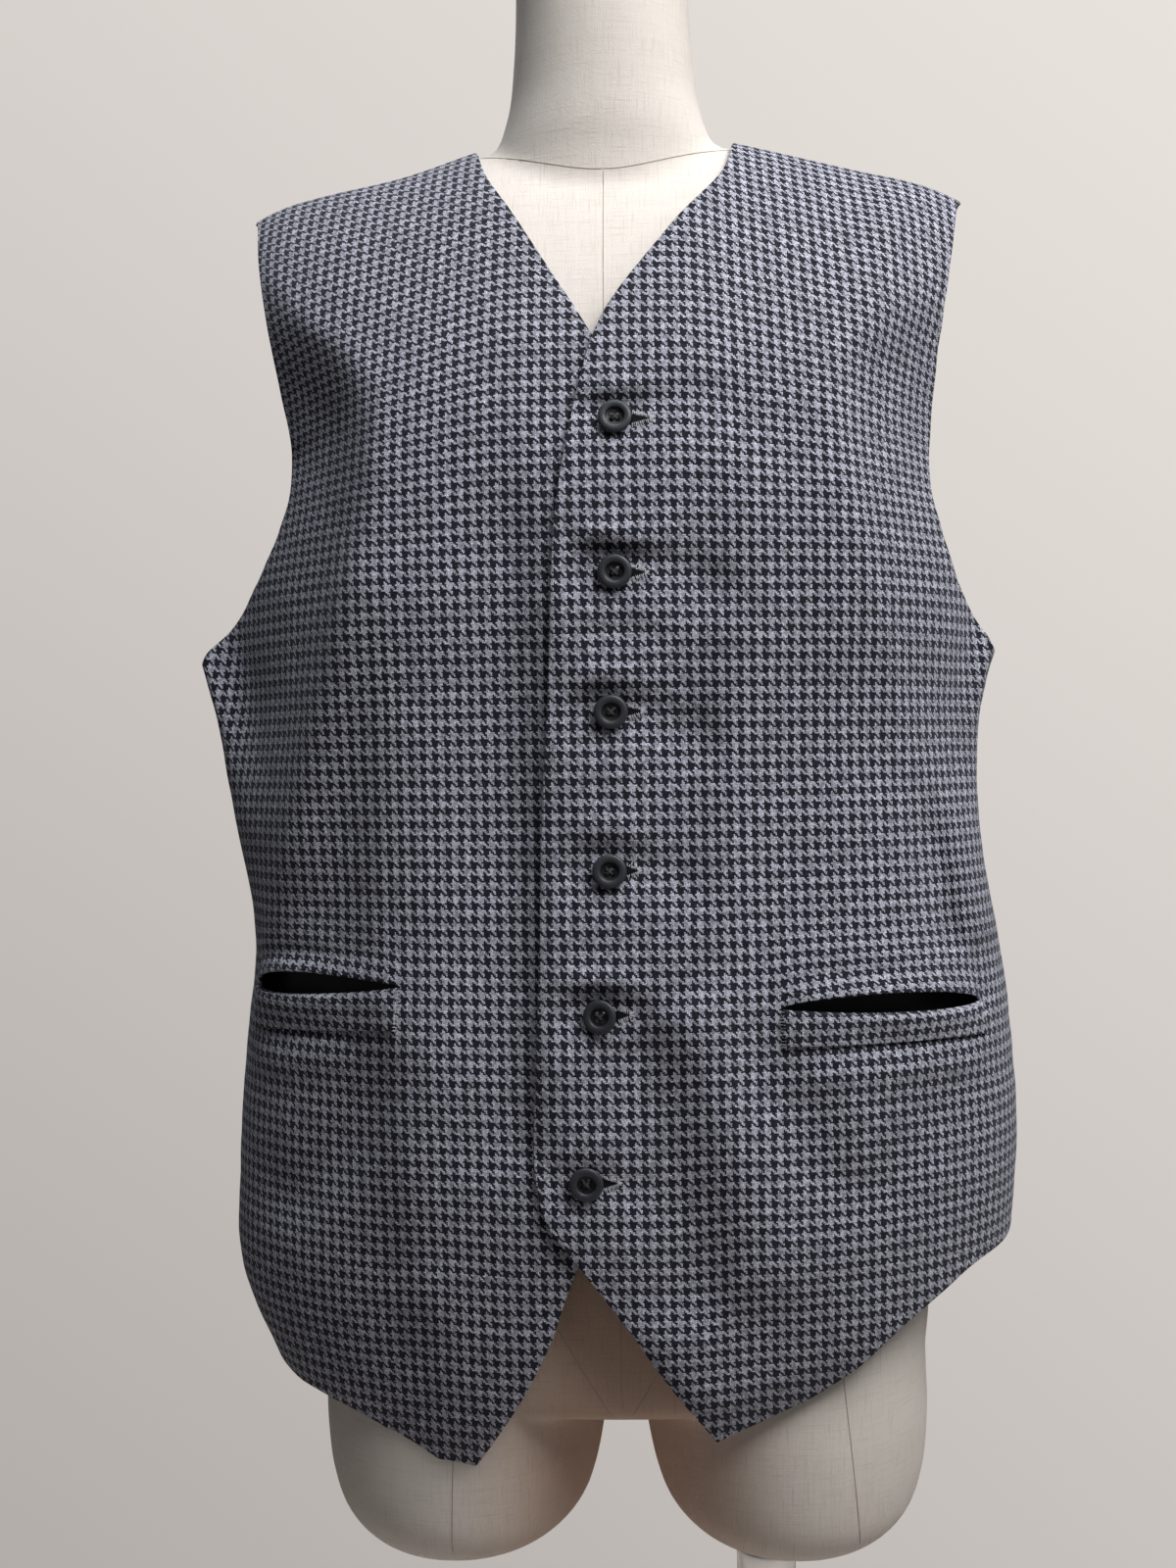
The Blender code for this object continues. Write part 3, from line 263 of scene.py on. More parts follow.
# The soft creases that only the dressed cloth has, on its back and on its fronts.
SMALL_FOLDS = table(Fold,  # front, x, z, lean, reach, width, height
    (
        (False, 0.052, 1.120, 14, 0.080, 0.0120, 0.0018),
        (False, -0.045, 1.080, -12, 0.080, 0.0120, 0.0018),
        (False, 0.150, 1.120, 28, 0.060, 0.0110, -0.0016),
        (False, -0.155, 1.130, -26, 0.060, 0.0110, -0.0016),
        (False, -0.020, 0.860, 4, 0.060, 0.0120, 0.0018),
        (False, 0.105, 0.900, -6, 0.070, 0.0110, -0.0016),
        (False, -0.100, 0.880, 8, 0.070, 0.0110, 0.0016),
        (False, 0.000, 1.300, 88, 0.060, 0.0110, -0.0012),
    ),
)
CREASES = table(Crease,  # path; ridge, tilt, drop, near, far; start, finish
    (
        # armhole turn, wearer right
        (((-160, 1296), (-137, 1269), (-121, 1242), (-117, 1210), (-118, 1175), (-124, 1136), (-135, 1087),
            (-145, 1037)), 0.002, 0, 0.012, 0.015, 0.04, 0.4, 0.3),
        # ridge from the armhole to the pocket
        (((-122, 1176), (-134, 1146), (-143, 1107), (-153, 1070), (-164, 1032), (-174, 993), (-184, 950)),
            0.0042, 0, 0, 0.009, 0.024, 0.18, 0.25),
        # crest down the right front
        (((-108, 1230), (-107, 1145), (-111, 1067), (-116, 997), (-113, 948), (-108, 900), (-104, 850),
            (-95, 785), (-86, 733)), 0.007, 0, 0, 0.016, 0.04, 0.3, 0.25),
        # valley beside the closing
        (((-53, 1237), (-47, 1143), (-47, 1046), (-47, 949), (-44, 877), (-37, 838)),
            -0.006, 0, 0, 0.028, 0.011, 0.18, 0.25),
        # pulls under buttons 1 to 6
        (((-20, 1229), (2, 1231), (24, 1233), (50, 1237), (90, 1234)),
            -0.0026, 0, 0, 0.018, 0.008, 0.1, 0.25),
        (((-22, 1150), (1, 1152), (24, 1154), (49, 1146), (70, 1127)),
            -0.0032, 0, 0, 0.019, 0.009, 0.1, 0.25),
        (((-25, 1079), (-3, 1080), (21, 1080), (43, 1071), (60, 1049)),
            -0.0034, 0, 0, 0.019, 0.009, 0.1, 0.25),
        (((-28, 1002), (-7, 1003), (17, 1005), (37, 996), (51, 977)), -0.0028, 0, 0, 0.018, 0.009, 0.1, 0.25),
        (((-32, 929), (-10, 931), (11, 928), (28, 913)), -0.0036, 0, 0, 0.018, 0.009, 0.1, 0.25),
        (((-37, 848), (-16, 849), (3, 848), (17, 833)), -0.0024, 0, 0, 0.015, 0.009, 0.1, 0.25),
        # pleats over buttons 1 to 6
        (((-12, 1235), (4, 1237), (21, 1237), (39, 1238)), 0, 0.0026, 0, 0.006, 0.006, 0.2, 0.6),
        (((-16, 1163), (-1, 1164), (15, 1161), (37, 1157)), 0, 0.0032, 0, 0.006, 0.006, 0.2, 0.6),
        (((-19, 1091), (-4, 1094), (14, 1092), (34, 1087)), 0, 0.0034, 0, 0.006, 0.006, 0.2, 0.6),
        (((-20, 1015), (-6, 1018), (13, 1015), (30, 1009)), 0, 0.0026, 0, 0.006, 0.006, 0.2, 0.6),
        (((-26, 942), (-11, 945), (7, 942), (24, 934)), 0, 0.003, 0, 0.0055, 0.0055, 0.2, 0.5),
        (((-32, 861), (-16, 863), (0, 859)), 0, 0.0018, 0, 0.005, 0.005, 0.2, 0.5),
        # rise to the left hip
        (((14, 932), (30, 903), (40, 862), (50, 822), (57, 771)), 0, 0.0065, 0, 0.026, 0.026, 0.12, 0.12),
        # rise beside the buttons
        (((65, 1224), (59, 1160), (52, 1093), (48, 1015), (40, 943)), 0, 0.0032, 0, 0.022, 0.022, 0.18, 0.25),
        # left side above the pocket
        (((166, 1062), (175, 1006), (183, 954)), 0, 0.0075, 0, 0.015, 0.02, 0.5, 0.05),
        # into the left pocket
        (((150, 938), (175, 937), (202, 930)), -0.006, 0, 0, 0.01, 0.038, 0.5, 0.1),
        # below the left pocket
        (((53, 934), (83, 885), (117, 841), (154, 864), (192, 903)), -0.005, 0, 0, 0.018, 0.019, 0.18, 0.25),
        # below the right pocket
        (((-198, 816), (-152, 846), (-122, 882), (-110, 924)), -0.005, 0, 0, 0.014, 0.02, 0.18, 0.25),
        # right point
        (((-102, 805), (-91, 764), (-83, 716)), 0.0032, 0, 0, 0.018, 0.02, 0.18, 0.25),
        # left hem curl
        (((9, 780), (32, 750), (50, 738), (82, 748), (133, 777)), 0, 0, 0.0105, 0.012, 0.012, 0.18, 0.25),
        # right hem curl
        (((-157, 743), (-118, 732), (-90, 719), (-67, 727), (-46, 761)),
            0, 0, 0.0095, 0.012, 0.012, 0.18, 0.25),
        # armhole turn, wearer left
        (((167, 1358), (152, 1320), (139, 1278), (135, 1232), (138, 1192)),
            0.0014, 0, 0, 0.034, 0.016, 0.18, 0.25),
        # puckers between the buttons
        (((-16, 1200), (6, 1204), (30, 1199)), -0.0011, 0, 0, 0.007, 0.005, 0.18, 0.25),
        (((-19, 1118), (10, 1122), (36, 1114)), -0.0015, 0, 0, 0.007, 0.005, 0.18, 0.25),
        (((-18, 1045), (3, 1042), (28, 1046)), -0.001, 0, 0, 0.007, 0.005, 0.18, 0.25),
        (((-22, 969), (-2, 965), (19, 969)), -0.001, 0, 0, 0.007, 0.005, 0.18, 0.25),
    ),
)
# Unsloped points of a line down each side of the chest; past it the fronts turn back to the armholes.
TUCK_LINE = table(Mark,  # x, z
    (
        (0.1800, 0.9600), (0.1650, 1.0100), (0.1500, 1.0600), (0.1370, 1.1100), (0.1280, 1.1460),
        (0.1215, 1.1760), (0.1150, 1.2100), (0.1110, 1.2390), (0.1150, 1.2665), (0.1330, 1.2950),
        (0.1600, 1.3250), (0.1900, 1.3800),
    ),
)
LEFT_EDGE = table(Mark,  # x, z
    (
        (0.0478, 0.7140), (0.0236, 0.7465), (0.0037, 0.7765), (-0.0188, 0.8071), (-0.0350, 0.8300),
        (-0.0390, 0.8480), (-0.0385, 0.9000), (-0.0345, 1.0100), (-0.0282, 1.1235), (-0.0225, 1.1960),
        (-0.0135, 1.2400), (-0.0048, 1.2706), (0.0328, 1.3286), (0.0522, 1.3542),
    ),
)
RIGHT_EDGE = table(Mark,  # x, z
    (
        (-0.0795, 0.6900), (-0.0700, 0.7040), (-0.0520, 0.7315), (-0.0370, 0.7600), (-0.0206, 0.8035),
        (-0.0050, 0.8350), (0.0040, 0.8600), (0.0110, 0.9300), (0.0160, 1.0000), (0.0205, 1.1500),
        (0.0200, 1.2100), (0.0080, 1.2480), (-0.0048, 1.2706), (-0.0364, 1.3261), (-0.0570, 1.3620),
    ),
)
LEFT_HEM = table(Mark,  # x, z
    (
        (0.0478, 0.7140), (0.0769, 0.7248), (0.1137, 0.7423), (0.1450, 0.7657), (0.1770, 0.7860),
        (0.2060, 0.7960),
    ),
)
RIGHT_HEM = table(Mark,  # x, z
    (
        (-0.0795, 0.6900), (-0.0880, 0.6925), (-0.1312, 0.7152), (-0.1573, 0.7230), (-0.1780, 0.7270),
    ),
)
RIGHT_HEM_AT_SEAM, LEFT_HEM_AT_SEAM, HEM_AT_CENTRE_BACK = 0.748, 0.800, 0.768
UNDERARM = 1.1130
FRONT_ARMHOLE = table(Flank,  # z, left, right
    (
        (1.1160, 73.6, -75.7), (1.1220, 68.0, -69.9), (1.1320, 60.8, -62.1), (1.1480, 53.9, -55.0),
        (1.1680, 51.0, -50.8), (1.1900, 49.5, -48.9), (1.2150, 48.5, -47.6), (1.2450, 48.8, -47.8),
        (1.2800, 49.8, -50.2), (1.3200, 51.9, -53.0), (1.3600, 55.2, -56.8), (1.3850, 58.5, -59.8),
    ),
)
BACK_ARMHOLE = table(Flank,  # z, left, right
    (
        (1.1160, 104.0, -104.0), (1.1220, 111.0, -111.0), (1.1340, 118.0, -118.0),
        (1.1540, 123.0, -123.0), (1.1850, 127.0, -127.0), (1.2250, 129.5, -129.5),
        (1.2700, 129.5, -129.5), (1.3200, 126.5, -126.5), (1.3650, 121.5, -121.5),
    ),
)
SIDE_SEAM = table(Flank,  # z, left, right
    (
        (0.660, 93.0, -93.0), (0.900, 93.0, -93.0), (1.000, 90.0, -93.0), (1.060, 81.0, -91.0),
        (UNDERARM, 78.5, -79.5),
    ),
)
# The rows from the underarm up, which both fronts have.
UPPER_ROWS = (
    (1.1150, UNDERARM, 1), (1.1250, 1.1165, 1), (1.1360, 1.1230, 1), (1.1490, 1.1330, 1),
    (1.1650, 1.1490, 4), (1.2706, 1.2500, 6), (1.4040, 1.4040, 0),
)
LEFT_ROWS = table(Row,  # inner, outer, steps
    (
        (0.7140, LEFT_HEM_AT_SEAM, 5), (0.8450, 0.8650, 2), (0.9165, 0.9085, 2), (0.9370, 0.9240, 2),
        (0.9850, 0.9700, 4), *UPPER_ROWS,
    ),
)
RIGHT_ROWS = table(Row,  # inner, outer, steps
    (
        (0.6900, RIGHT_HEM_AT_SEAM, 5), (0.8600, 0.8600, 2), (0.9290, 0.9120, 2), (0.9500, 0.9350, 2),
        (0.9950, 0.9800, 4), *UPPER_ROWS,
    ),
)
POCKET_GUIDE = 3  # which of the rows above is the pocket mouth; the one before it is the welt's seam
LEFT_MOUTH = Mouth(inner=22.3, outer=60.0, gape=0.0098, before=4, along=8, past=4)
RIGHT_MOUTH = Mouth(inner=-31.2, outer=-67.0, gape=0.0118, before=5, along=8, past=3, skew=1.3)
CLOSINGS = table(Closing,  # x, z, tip, hole_end
    (
        (0.0055, 1.2249, 0, 0.0255),
        (0.0043, 1.1493, 0, 0.0220),
        (0.0012, 1.0809, 3, 0.0187),
        (-0.0006, 1.0022, 0, 0.0160),
        (-0.0060, 0.9314, -14, 0.0109),
        (-0.0143, 0.8503, 0, 0.0036),
    ),
)
NECK_RINGS = table(Ring,  # z, y, outward, inward, half_y
    (
        (1.330, 0.010, 0.0700, 0.0700, 0.0480),
        (1.385, 0.010, 0.0660, 0.0660, 0.0480),
        (1.402, 0.007, 0.0600, 0.0600, 0.0470),
        (1.425, 0.005, 0.0530, 0.0530, 0.0460),
        (1.460, 0.003, 0.0495, 0.0495, 0.0460),
        (1.494, 0.001, 0.0480, 0.0480, 0.0455),
        (1.504, 0.001, 0.0455, 0.0455, 0.0435),
        (1.508, 0.001, 0.0380, 0.0380, 0.0360),
    ),
)
THIGH_RINGS = table(Ring,  # z, y, outward, inward, half_y
    (
        (0.6255, 0.003, 0.0400, 0.0400, 0.048),
        (0.631, 0.003, 0.0560, 0.0550, 0.066),
        (0.646, 0.003, 0.0690, 0.0690, 0.080),
        (0.668, 0.003, 0.0755, 0.0765, 0.086),
        (0.694, 0.002, 0.0775, 0.0812, 0.088),
        (0.706, 0.002, 0.0775, 0.0862, 0.088),
        (0.713, 0.002, 0.0772, 0.0922, 0.088),
        (0.735, 0.002, 0.0765, 0.0925, 0.088),
        (0.790, 0.002, 0.0720, 0.0720, 0.084),
    ),
)
SEAMS = table(Seam,  # x, z, end_x, end_z, stitches, behind
    (
        (0.000, 0.718, 0.000, 1.3755, 220, True),
        (-0.091, 0.640, -0.083, 0.800, 60, True),
        (0.124, 0.640, 0.108, 0.800, 60, True),
        (0.004, 0.716, 0.034, 0.771, 30, False),
        (-0.004, 0.716, -0.034, 0.771, 30, False),
    ),
)
LAMPS = table(Lamp,  # name, place, size, power, colour
    (
        ("key", (0.85, -0.97, 2.40), 0.8, 32.0, (1.0, 0.985, 0.965)),
        ("side", (1.31, -0.60, 2.18), 0.8, 6.0, (1.0, 0.99, 0.98)),
        ("top", (0.0, -0.56, 2.84), 0.8, 14.0, (0.96, 0.98, 1.0)),
        ("behind", (-0.5, 2.1, 2.2), 1.4, 26.0, (1.0, 0.99, 0.98)),
    ),
)


# ---------------------------------------------------------------- curves and the body surface


def column(table: Sequence, name: str) -> Array:
    """One named column of a table as an array."""
    return np.array([getattr(row, name) for row in table], float)


def soft_step(value: Array | float, low: float, high: float) -> Array:
    """0 below low, 1 above high and a smooth rise between."""
    t = np.clip((np.asarray(value, float) - low) / (high - low), 0.0, 1.0)
    return t * t * (3.0 - 2.0 * t)


def bell(value: Array, middle: float, width: float) -> Array:
    """1 at middle, falling smoothly to nothing on both sides."""
    return np.exp(-(((value - middle) / width) ** 2))


def read_rows(values: Array, at: Array, mirror: int | None = None) -> Array:
    """A smooth curve through evenly numbered values.

    Args:
        values: The values, one for each whole number.
        at: The numbers to read at.
        mirror: 1 or -1 to reflect the curve past its last value.

    Returns:
        The curve's values there.
    """
    values = np.asarray(values, float)
    first = 2 * values[0] - values[1]
    last = 2 * values[-1] - values[-2]
    if mirror is not None:
        last = 2 * values[-1] * (mirror < 0) + mirror * values[-2]
    padded = np.concatenate([[first], values, [last]])
    at = np.clip(np.asarray(at, float), 0, len(values) - 1)
    i = np.minimum(at.astype(int), len(values) - 2)
    t = at - i
    a, b, c, d = (padded[i + k] for k in range(4))
    return b + t / 2 * (c - a + t * (2 * a - 5 * b + 4 * c - d + t * (3 * (b - c) + d - a)))


def smooth_through(knots: Array, values: Array, at: Array) -> Array:
    """A smooth curve through values at rising knots, level past its ends."""
    knots, values, at = (np.asarray(item, float) for item in (knots, values, at))
    slopes = np.gradient(values, knots)
    i = np.clip(np.searchsorted(knots, at) - 1, 0, len(knots) - 2)
    span = knots[i + 1] - knots[i]
    t = np.clip((at - knots[i]) / span, 0, 1)
    rise, fall = t * t * (3 - 2 * t), t * (1 - t)
    bend = fall * ((1 - t) * slopes[i] - t * slopes[i + 1]) * span
    return values[i] * (1 - rise) + values[i + 1] * rise + bend


@dataclass
class Ripples:
    """A gentle unevenness made of a few long waves in all directions."""

    height: float
    length: float
    waves: int = 9
    seed: int = 4

    def at(self, points: Array) -> Array:
        """Heights at the given points."""
        dice = np.random.default_rng(self.seed)
        total = np.zeros(points.shape[:-1])
        for _ in range(self.waves):
            direction = dice.normal(size=3)
            direction *= 2 * math.pi / self.length * dice.uniform(0.55, 1.6) / np.linalg.norm(direction)
            total += np.sin(points @ direction + dice.uniform(0, 2 * math.pi))
        return self.height * total / math.sqrt(self.waves)


@dataclass
class BodySurface:
    """A rounded torso surface read from a table of levels, with folds and ripples laid over it."""

    table: tuple[Level, ...]
    folds: tuple[Fold, ...] = ()
    small_folds: tuple[Fold, ...] = ()
    creases: tuple[Crease, ...] = ()
    ripples: tuple[Ripples, ...] = ()
    closed: bool = False
    neck_half: float = 0.0745
    tip_half: float = 0.1980
    left_slope: float = 0.257
    right_slope: float = 0.254
    slope_start: float = 0.055
    slope_soft: float = 0.006
    tip_from: float = 0.172
    tip_drop: float = 0.004
    dip_x: float = -0.112
    dip_width: float = 0.036
    dip: float = 0.0032
    slope_from: float = 1.14
    slope_full: float = 1.33
    nape_from: float = 1.345
    nape_rise: float = 0.060
    nape_push: float = 0.045
    nape_closes: float = 0.010
    calm_from: float = 1.285
    calm_full: float = 1.365
    side_soft: float = 0.030
    tuck_slope: float = 0.60
    tuck_soft: float = 0.008
    tuck_heights: tuple[float, float, float, float] = (0.98, 1.10, 1.32, 1.39)
    tuck_angles: tuple[float, float] = (56.0, 79.0)
    viewer: Triple = (0.03, -0.95, 1.06)

    def __post_init__(self) -> None:
        """Tabulates the height of every level."""
        self.top = len(self.table) - 1.0
        self.steps = np.linspace(0, self.top, 40 * len(self.table))
        self.heights = read_rows(column(self.table, "z"), self.steps, mirror=1)

    def read(self, name: str, level: Array) -> Array:
        """One named size at the given levels."""
        mirror = -1 if name in ("front", "back") else 1
        return read_rows(column(self.table, name), level, mirror=mirror)

    def level_of(self, z: Array | float) -> Array:
        """The level whose unsloped height is z."""
        return np.interp(z, self.heights, self.steps)

    def angle_of(self, x: Array, level: Array) -> Array:
        """The angle on the front half where the body is x from the centre plane."""
        half = np.where(x < 0, self.read("right", level), self.read("left", level))
        share = np.clip(np.abs(x) / half, 1e-6, 1 - 1e-6)
        power = self.read("square", level)
        angle = np.arctan((share**-power - 1.0) ** (-1.0 / power))
        return np.degrees(np.sign(x) * angle)

    def ridge_angle(self, x: float) -> float:
        """The angle at which the ridge of the shoulders is x from the centre plane."""
        return float(self.angle_of(np.array([x]), np.array([self.top]))[0])

    def slope_drop(self, x: Array, z: Array) -> Array:
        """How far the shoulder has fallen at x."""
        out = self.slope_soft * np.logaddexp(0.0, (np.abs(x) - self.slope_start) / self.slope_soft)
        tip = np.maximum(np.abs(x) - self.tip_from, 0) / (self.tip_half - self.tip_from)
        drop = np.where(x < 0, self.right_slope, self.left_slope) * out + self.tip_drop * tip**2
        drop = drop + self.dip * bell(x, self.dip_x, self.dip_width)
        return drop * soft_step(z, self.slope_from, self.slope_full)

    def find(self, x: Array | float, z: Array | float) -> tuple[Array, Array]:
        """Angle and level of the front's point that is seen at x and z from the front."""
        x, z = np.broadcast_arrays(np.asarray(x, float), np.asarray(z, float))
        flat = z.copy()
        for _ in range(30):
            flat = z + self.slope_drop(x, flat)
        level = self.level_of(flat)
        return self.angle_of(x, level), level

    def tuck(self, x: Array, z: Array, angle: Array) -> Array:
        """How far the fronts turn back past the chest, towards the armholes."""
        line = smooth_through(column(TUCK_LINE, "z"), column(TUCK_LINE, "x"), z)
        past = np.maximum(np.abs(x) - line, 0)
        depth = self.tuck_slope * (np.hypot(past, self.tuck_soft) - self.tuck_soft)
        low, full, high, gone = self.tuck_heights
        share = soft_step(z, low, full) * (1 - soft_step(z, high, gone))
        return depth * share * (1 - soft_step(np.abs(angle), *self.tuck_angles))

    def smooth_point(self, angle: Array, level: Array) -> Array:
        """Points of the surface without its folds."""
        turn = np.radians(angle)
        sine, cosine = np.sin(turn), np.cos(turn)
        power = self.read("square", level)
        reach = (np.abs(sine) ** power + np.abs(cosine) ** power) ** (-1.0 / power)
        half = np.where(sine < 0, self.read("right", level), self.read("left", level))
        depth = np.where(cosine > 0, self.read("front", level), self.read("back", level))
        x = half * reach * sine
        y = -depth * reach * cosine
        z = self.read("z", level)
        lean = np.clip(1 - (x / self.neck_half) ** 4, 0, 1)
        nape = (lean * np.clip((z - self.nape_from) / self.nape_rise, 0, 1)) ** 1.5
        if self.closed:
            nape = nape * np.clip((self.table[-1].z - z) / self.nape_closes, 0, 1)
        else:
            y = y + self.tuck(x, z, angle)
        y = y + self.nape_push * nape * (cosine < 0)
        return np.stack([x, y, z - self.slope_drop(x, z)], axis=-1)

    def normal(self, angle: Array, level: Array) -> Array:
        """The outward direction of the smooth surface."""
        turn, rise = 0.25, 0.02
        low, high = np.maximum(level - rise, 0), np.minimum(level + rise, self.top)
        across = self.smooth_point(angle + turn, level) - self.smooth_point(angle - turn, level)
        up = self.smooth_point(angle, high) - self.smooth_point(angle, low)
        at_top = (level > self.top - 1e-6)[..., None]
        over = np.where(np.abs(angle) < 90, 1.0, -1.0)[..., None] * np.array([0.0, 1.0, 0.0])
        out = np.cross(across, np.where(at_top, over, up))
        return out / np.linalg.norm(out, axis=-1, keepdims=True)

    def crease_height(self, crease: Crease, x: Array, z: Array) -> Array:
        """Height of one crease at points seen from the front at x and z."""
        steps = np.linspace(0, len(crease.path) - 1, 5 * len(crease.path))
        line = np.stack([read_rows(part, steps) for part in np.array(crease.path).T / 1000], axis=1)
        nearest, side, along = np.full(x.shape, np.inf), np.zeros(x.shape), np.zeros(x.shape)
        for number, (start, end) in enumerate(zip(line, line[1:])):
            way = end - start
            span = float(np.hypot(*way))
            dx, dz = x - start[0], z - start[1]
            share = np.clip((dx * way[0] + dz * way[1]) / span**2, 0, 1)
            gap = np.hypot(dx - share * way[0], dz - share * way[1])
            closer = gap < nearest
            nearest = np.where(closer, gap, nearest)
            side = np.where(closer, np.where(dz * way[0] - dx * way[1] > 0, gap, -gap), side)
            along = np.where(closer, (number + share) / (len(line) - 1), along)
        across = side / np.where(side > 0, crease.far, crease.near)
        bell = np.exp(-(across**2))
        height = crease.ridge * bell + crease.tilt * math.sqrt(2 * math.e) * across * bell
        height -= crease.drop * soft_step(-side, 0, 2 * crease.near)
        return height * soft_step(along, -1e-3, crease.start) * soft_step(1 - along, -1e-3, crease.finish)

    def relief(self, point: Array) -> Array:
        """Height of folds, creases and ripples at points of the smooth surface."""
        total = np.zeros(point.shape[:-1])
        small = np.zeros(point.shape[:-1])
        for number, fold in enumerate(self.folds + self.small_folds):
            dx, dz = point[..., 0] - fold.x, point[..., 2] - fold.z
            lean = math.radians(fold.lean)
            along = dx * math.sin(lean) + dz * math.cos(lean)
            aside = dx * math.cos(lean) - dz * math.sin(lean)
            bell = np.exp(-((aside / fold.width) ** 2) - (along / fold.reach) ** 4)
            facing = point[..., 1] < 0 if fold.front else point[..., 1] >= 0
            (total if number < len(self.folds) else small)[...] += fold.height * bell * facing
        for ripple in self.ripples:
            small += ripple.at(point)
        calm = 1 - soft_step(point[..., 2], self.calm_from, self.calm_full)
        return total + small * calm

    def crumple(self, point: Array) -> Array:
        """Height of the creases at points of the smooth surface."""
        total = np.zeros(point.shape[:-1])
        front = soft_step(-point[..., 1], 0.0, self.side_soft)
        seen = front > 0
        for crease in self.creases:
            total[seen] += front[seen] * self.crease_height(crease, point[seen, 0], point[seen, 2])
        return total

    def point(self, angle: Array, level: Array) -> Array:
        """Points of the surface with its folds; creases move towards the viewer, so outlines stay."""
        smooth = self.smooth_point(angle, level)
        normal = self.normal(angle, level)
        moved = smooth + self.relief(smooth)[..., None] * normal
        ahead = np.array(self.viewer) - smooth
        ahead /= np.linalg.norm(ahead, axis=-1, keepdims=True)
        return moved + self.crumple(smooth)[..., None] * ahead


@dataclass
class ClothChart:
    """Lengths in the cloth, so that a weave keeps its size: across from a centre line, and up."""

    surface: BodySurface
    level_zero: float = 1.14
    profile_angle: float = 24.0
    samples: int = 721

    def __post_init__(self) -> None:
        """Measures the smooth surface along its levels and up its profile."""
        surface = self.surface
        self.angles = np.linspace(-180, 180, self.samples)
        self.levels = np.linspace(0, surface.top, 151)
        angle, level = np.meshgrid(self.angles, self.levels)
        points = surface.smooth_point(angle, level)
        steps = np.linalg.norm(np.diff(points, axis=1), axis=-1)
        length = np.concatenate([np.zeros((len(self.levels), 1)), np.cumsum(steps, axis=1)], axis=1)
        middle = self.samples // 2
        self.across = length - length[:, middle : middle + 1]
        fine = np.linspace(0, surface.top, 1501)
        depth = surface.read("front", fine) * math.cos(math.radians(self.profile_angle))
        height = surface.read("z", fine)
        rise = np.hypot(np.diff(depth), np.diff(height))
        self.profile = fine
        self.up = np.concatenate([[0.0], np.cumsum(rise)])
        self.up -= np.interp(float(surface.level_of(self.level_zero)), fine, self.up)

    def lengths(self, angle: Array, level: Array) -> Array:
        """Width from the centre front and height in the cloth, in metres, for each point.

        Args:
            angle: Angles round the body.
            level: Levels, one for each angle.

        Returns:
            An array of (across, up) pairs.
        """
        angle, level = np.asarray(angle, float).ravel(), np.asarray(level, float).ravel()
        column_at = np.clip((angle + 180) / 360, 0, 1) * (self.samples - 1)
        row_at = np.clip(level / self.surface.top, 0, 1) * (len(self.levels) - 1)
        i = np.minimum(column_at.astype(int), self.samples - 2)
        j = np.minimum(row_at.astype(int), len(self.levels) - 2)
        s, t = column_at - i, row_at - j
        low = self.across[j, i] * (1 - s) + self.across[j, i + 1] * s
        high = self.across[j + 1, i] * (1 - s) + self.across[j + 1, i + 1] * s
        return np.stack([low * (1 - t) + high * t, np.interp(level, self.profile, self.up)], axis=-1)


def side_outline(
    surface: BodySurface, side: Wearer, armhole: Sequence[Flank], tip: float, level: Array, apart: float
) -> Array:
    """Angles of a side seam and of the armhole above it.

    Args:
        surface: The body surface.
        side: The wearer's side.
        armhole: The armhole's outline.
        tip: The angle at which it ends on the ridge.
        level: The levels to read at.
        apart: How far the seam is moved, in metres round the body.

    Returns:
        The angles, one for each level.
    """
    name = "left" if side is Wearer.LEFT else "right"
    seam = np.interp(surface.read("z", level), column(SIDE_SEAM, "z"), column(SIDE_SEAM, name))
    knots = np.concatenate([[UNDERARM], column(armhole, "z"), [surface.table[-1].z]])
    angles = np.concatenate([[getattr(SIDE_SEAM[-1], name)], column(armhole, name), [tip]])
    above = smooth_through(surface.level_of(knots), angles, level)
    seam = seam + math.degrees(apart / getattr(surface.table[-1], name))
    return np.where(level <= surface.level_of(UNDERARM) + 1e-6, seam, above)


# ---------------------------------------------------------------- mesh helpers


def link(name: str, data: bpy.types.ID) -> Piece:
    """A new object in the scene for a mesh, a lamp or a camera."""
    made = bpy.data.objects.new(name, data)
    bpy.context.scene.collection.objects.link(made)
    return made


def new_mesh(name: str, points: Array, faces: list[Face], *finishes: Material) -> Mesh:
    """A smooth mesh with its finishes."""
    mesh = bpy.data.meshes.new(name)
    mesh.from_pydata(points.tolist(), [], faces)
    for finish in finishes:
        mesh.materials.append(finish)
    mesh.shade_smooth()
    return mesh


def present(piece: Piece, slot: str, *nodes: str) -> Piece:
    """Makes a piece ride on the one body and hides the solids that it stands for."""
    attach(piece, "root")
    if nodes:
        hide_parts(*nodes)
    log.info("%s: %d faces", piece.name, len(piece.data.polygons))
    return piece


def grid_faces(rows: int, columns: int, flip: bool = False) -> list[Face]:
    """The quads of a grid whose points are numbered along its rows."""
    faces = []
    for j in range(rows - 1):
        for i in range(columns - 1):
            corner = j * columns + i
            quad = (corner, corner + 1, corner + 1 + columns, corner + columns)
            faces.append(quad[::-1] if flip else quad)
    return faces


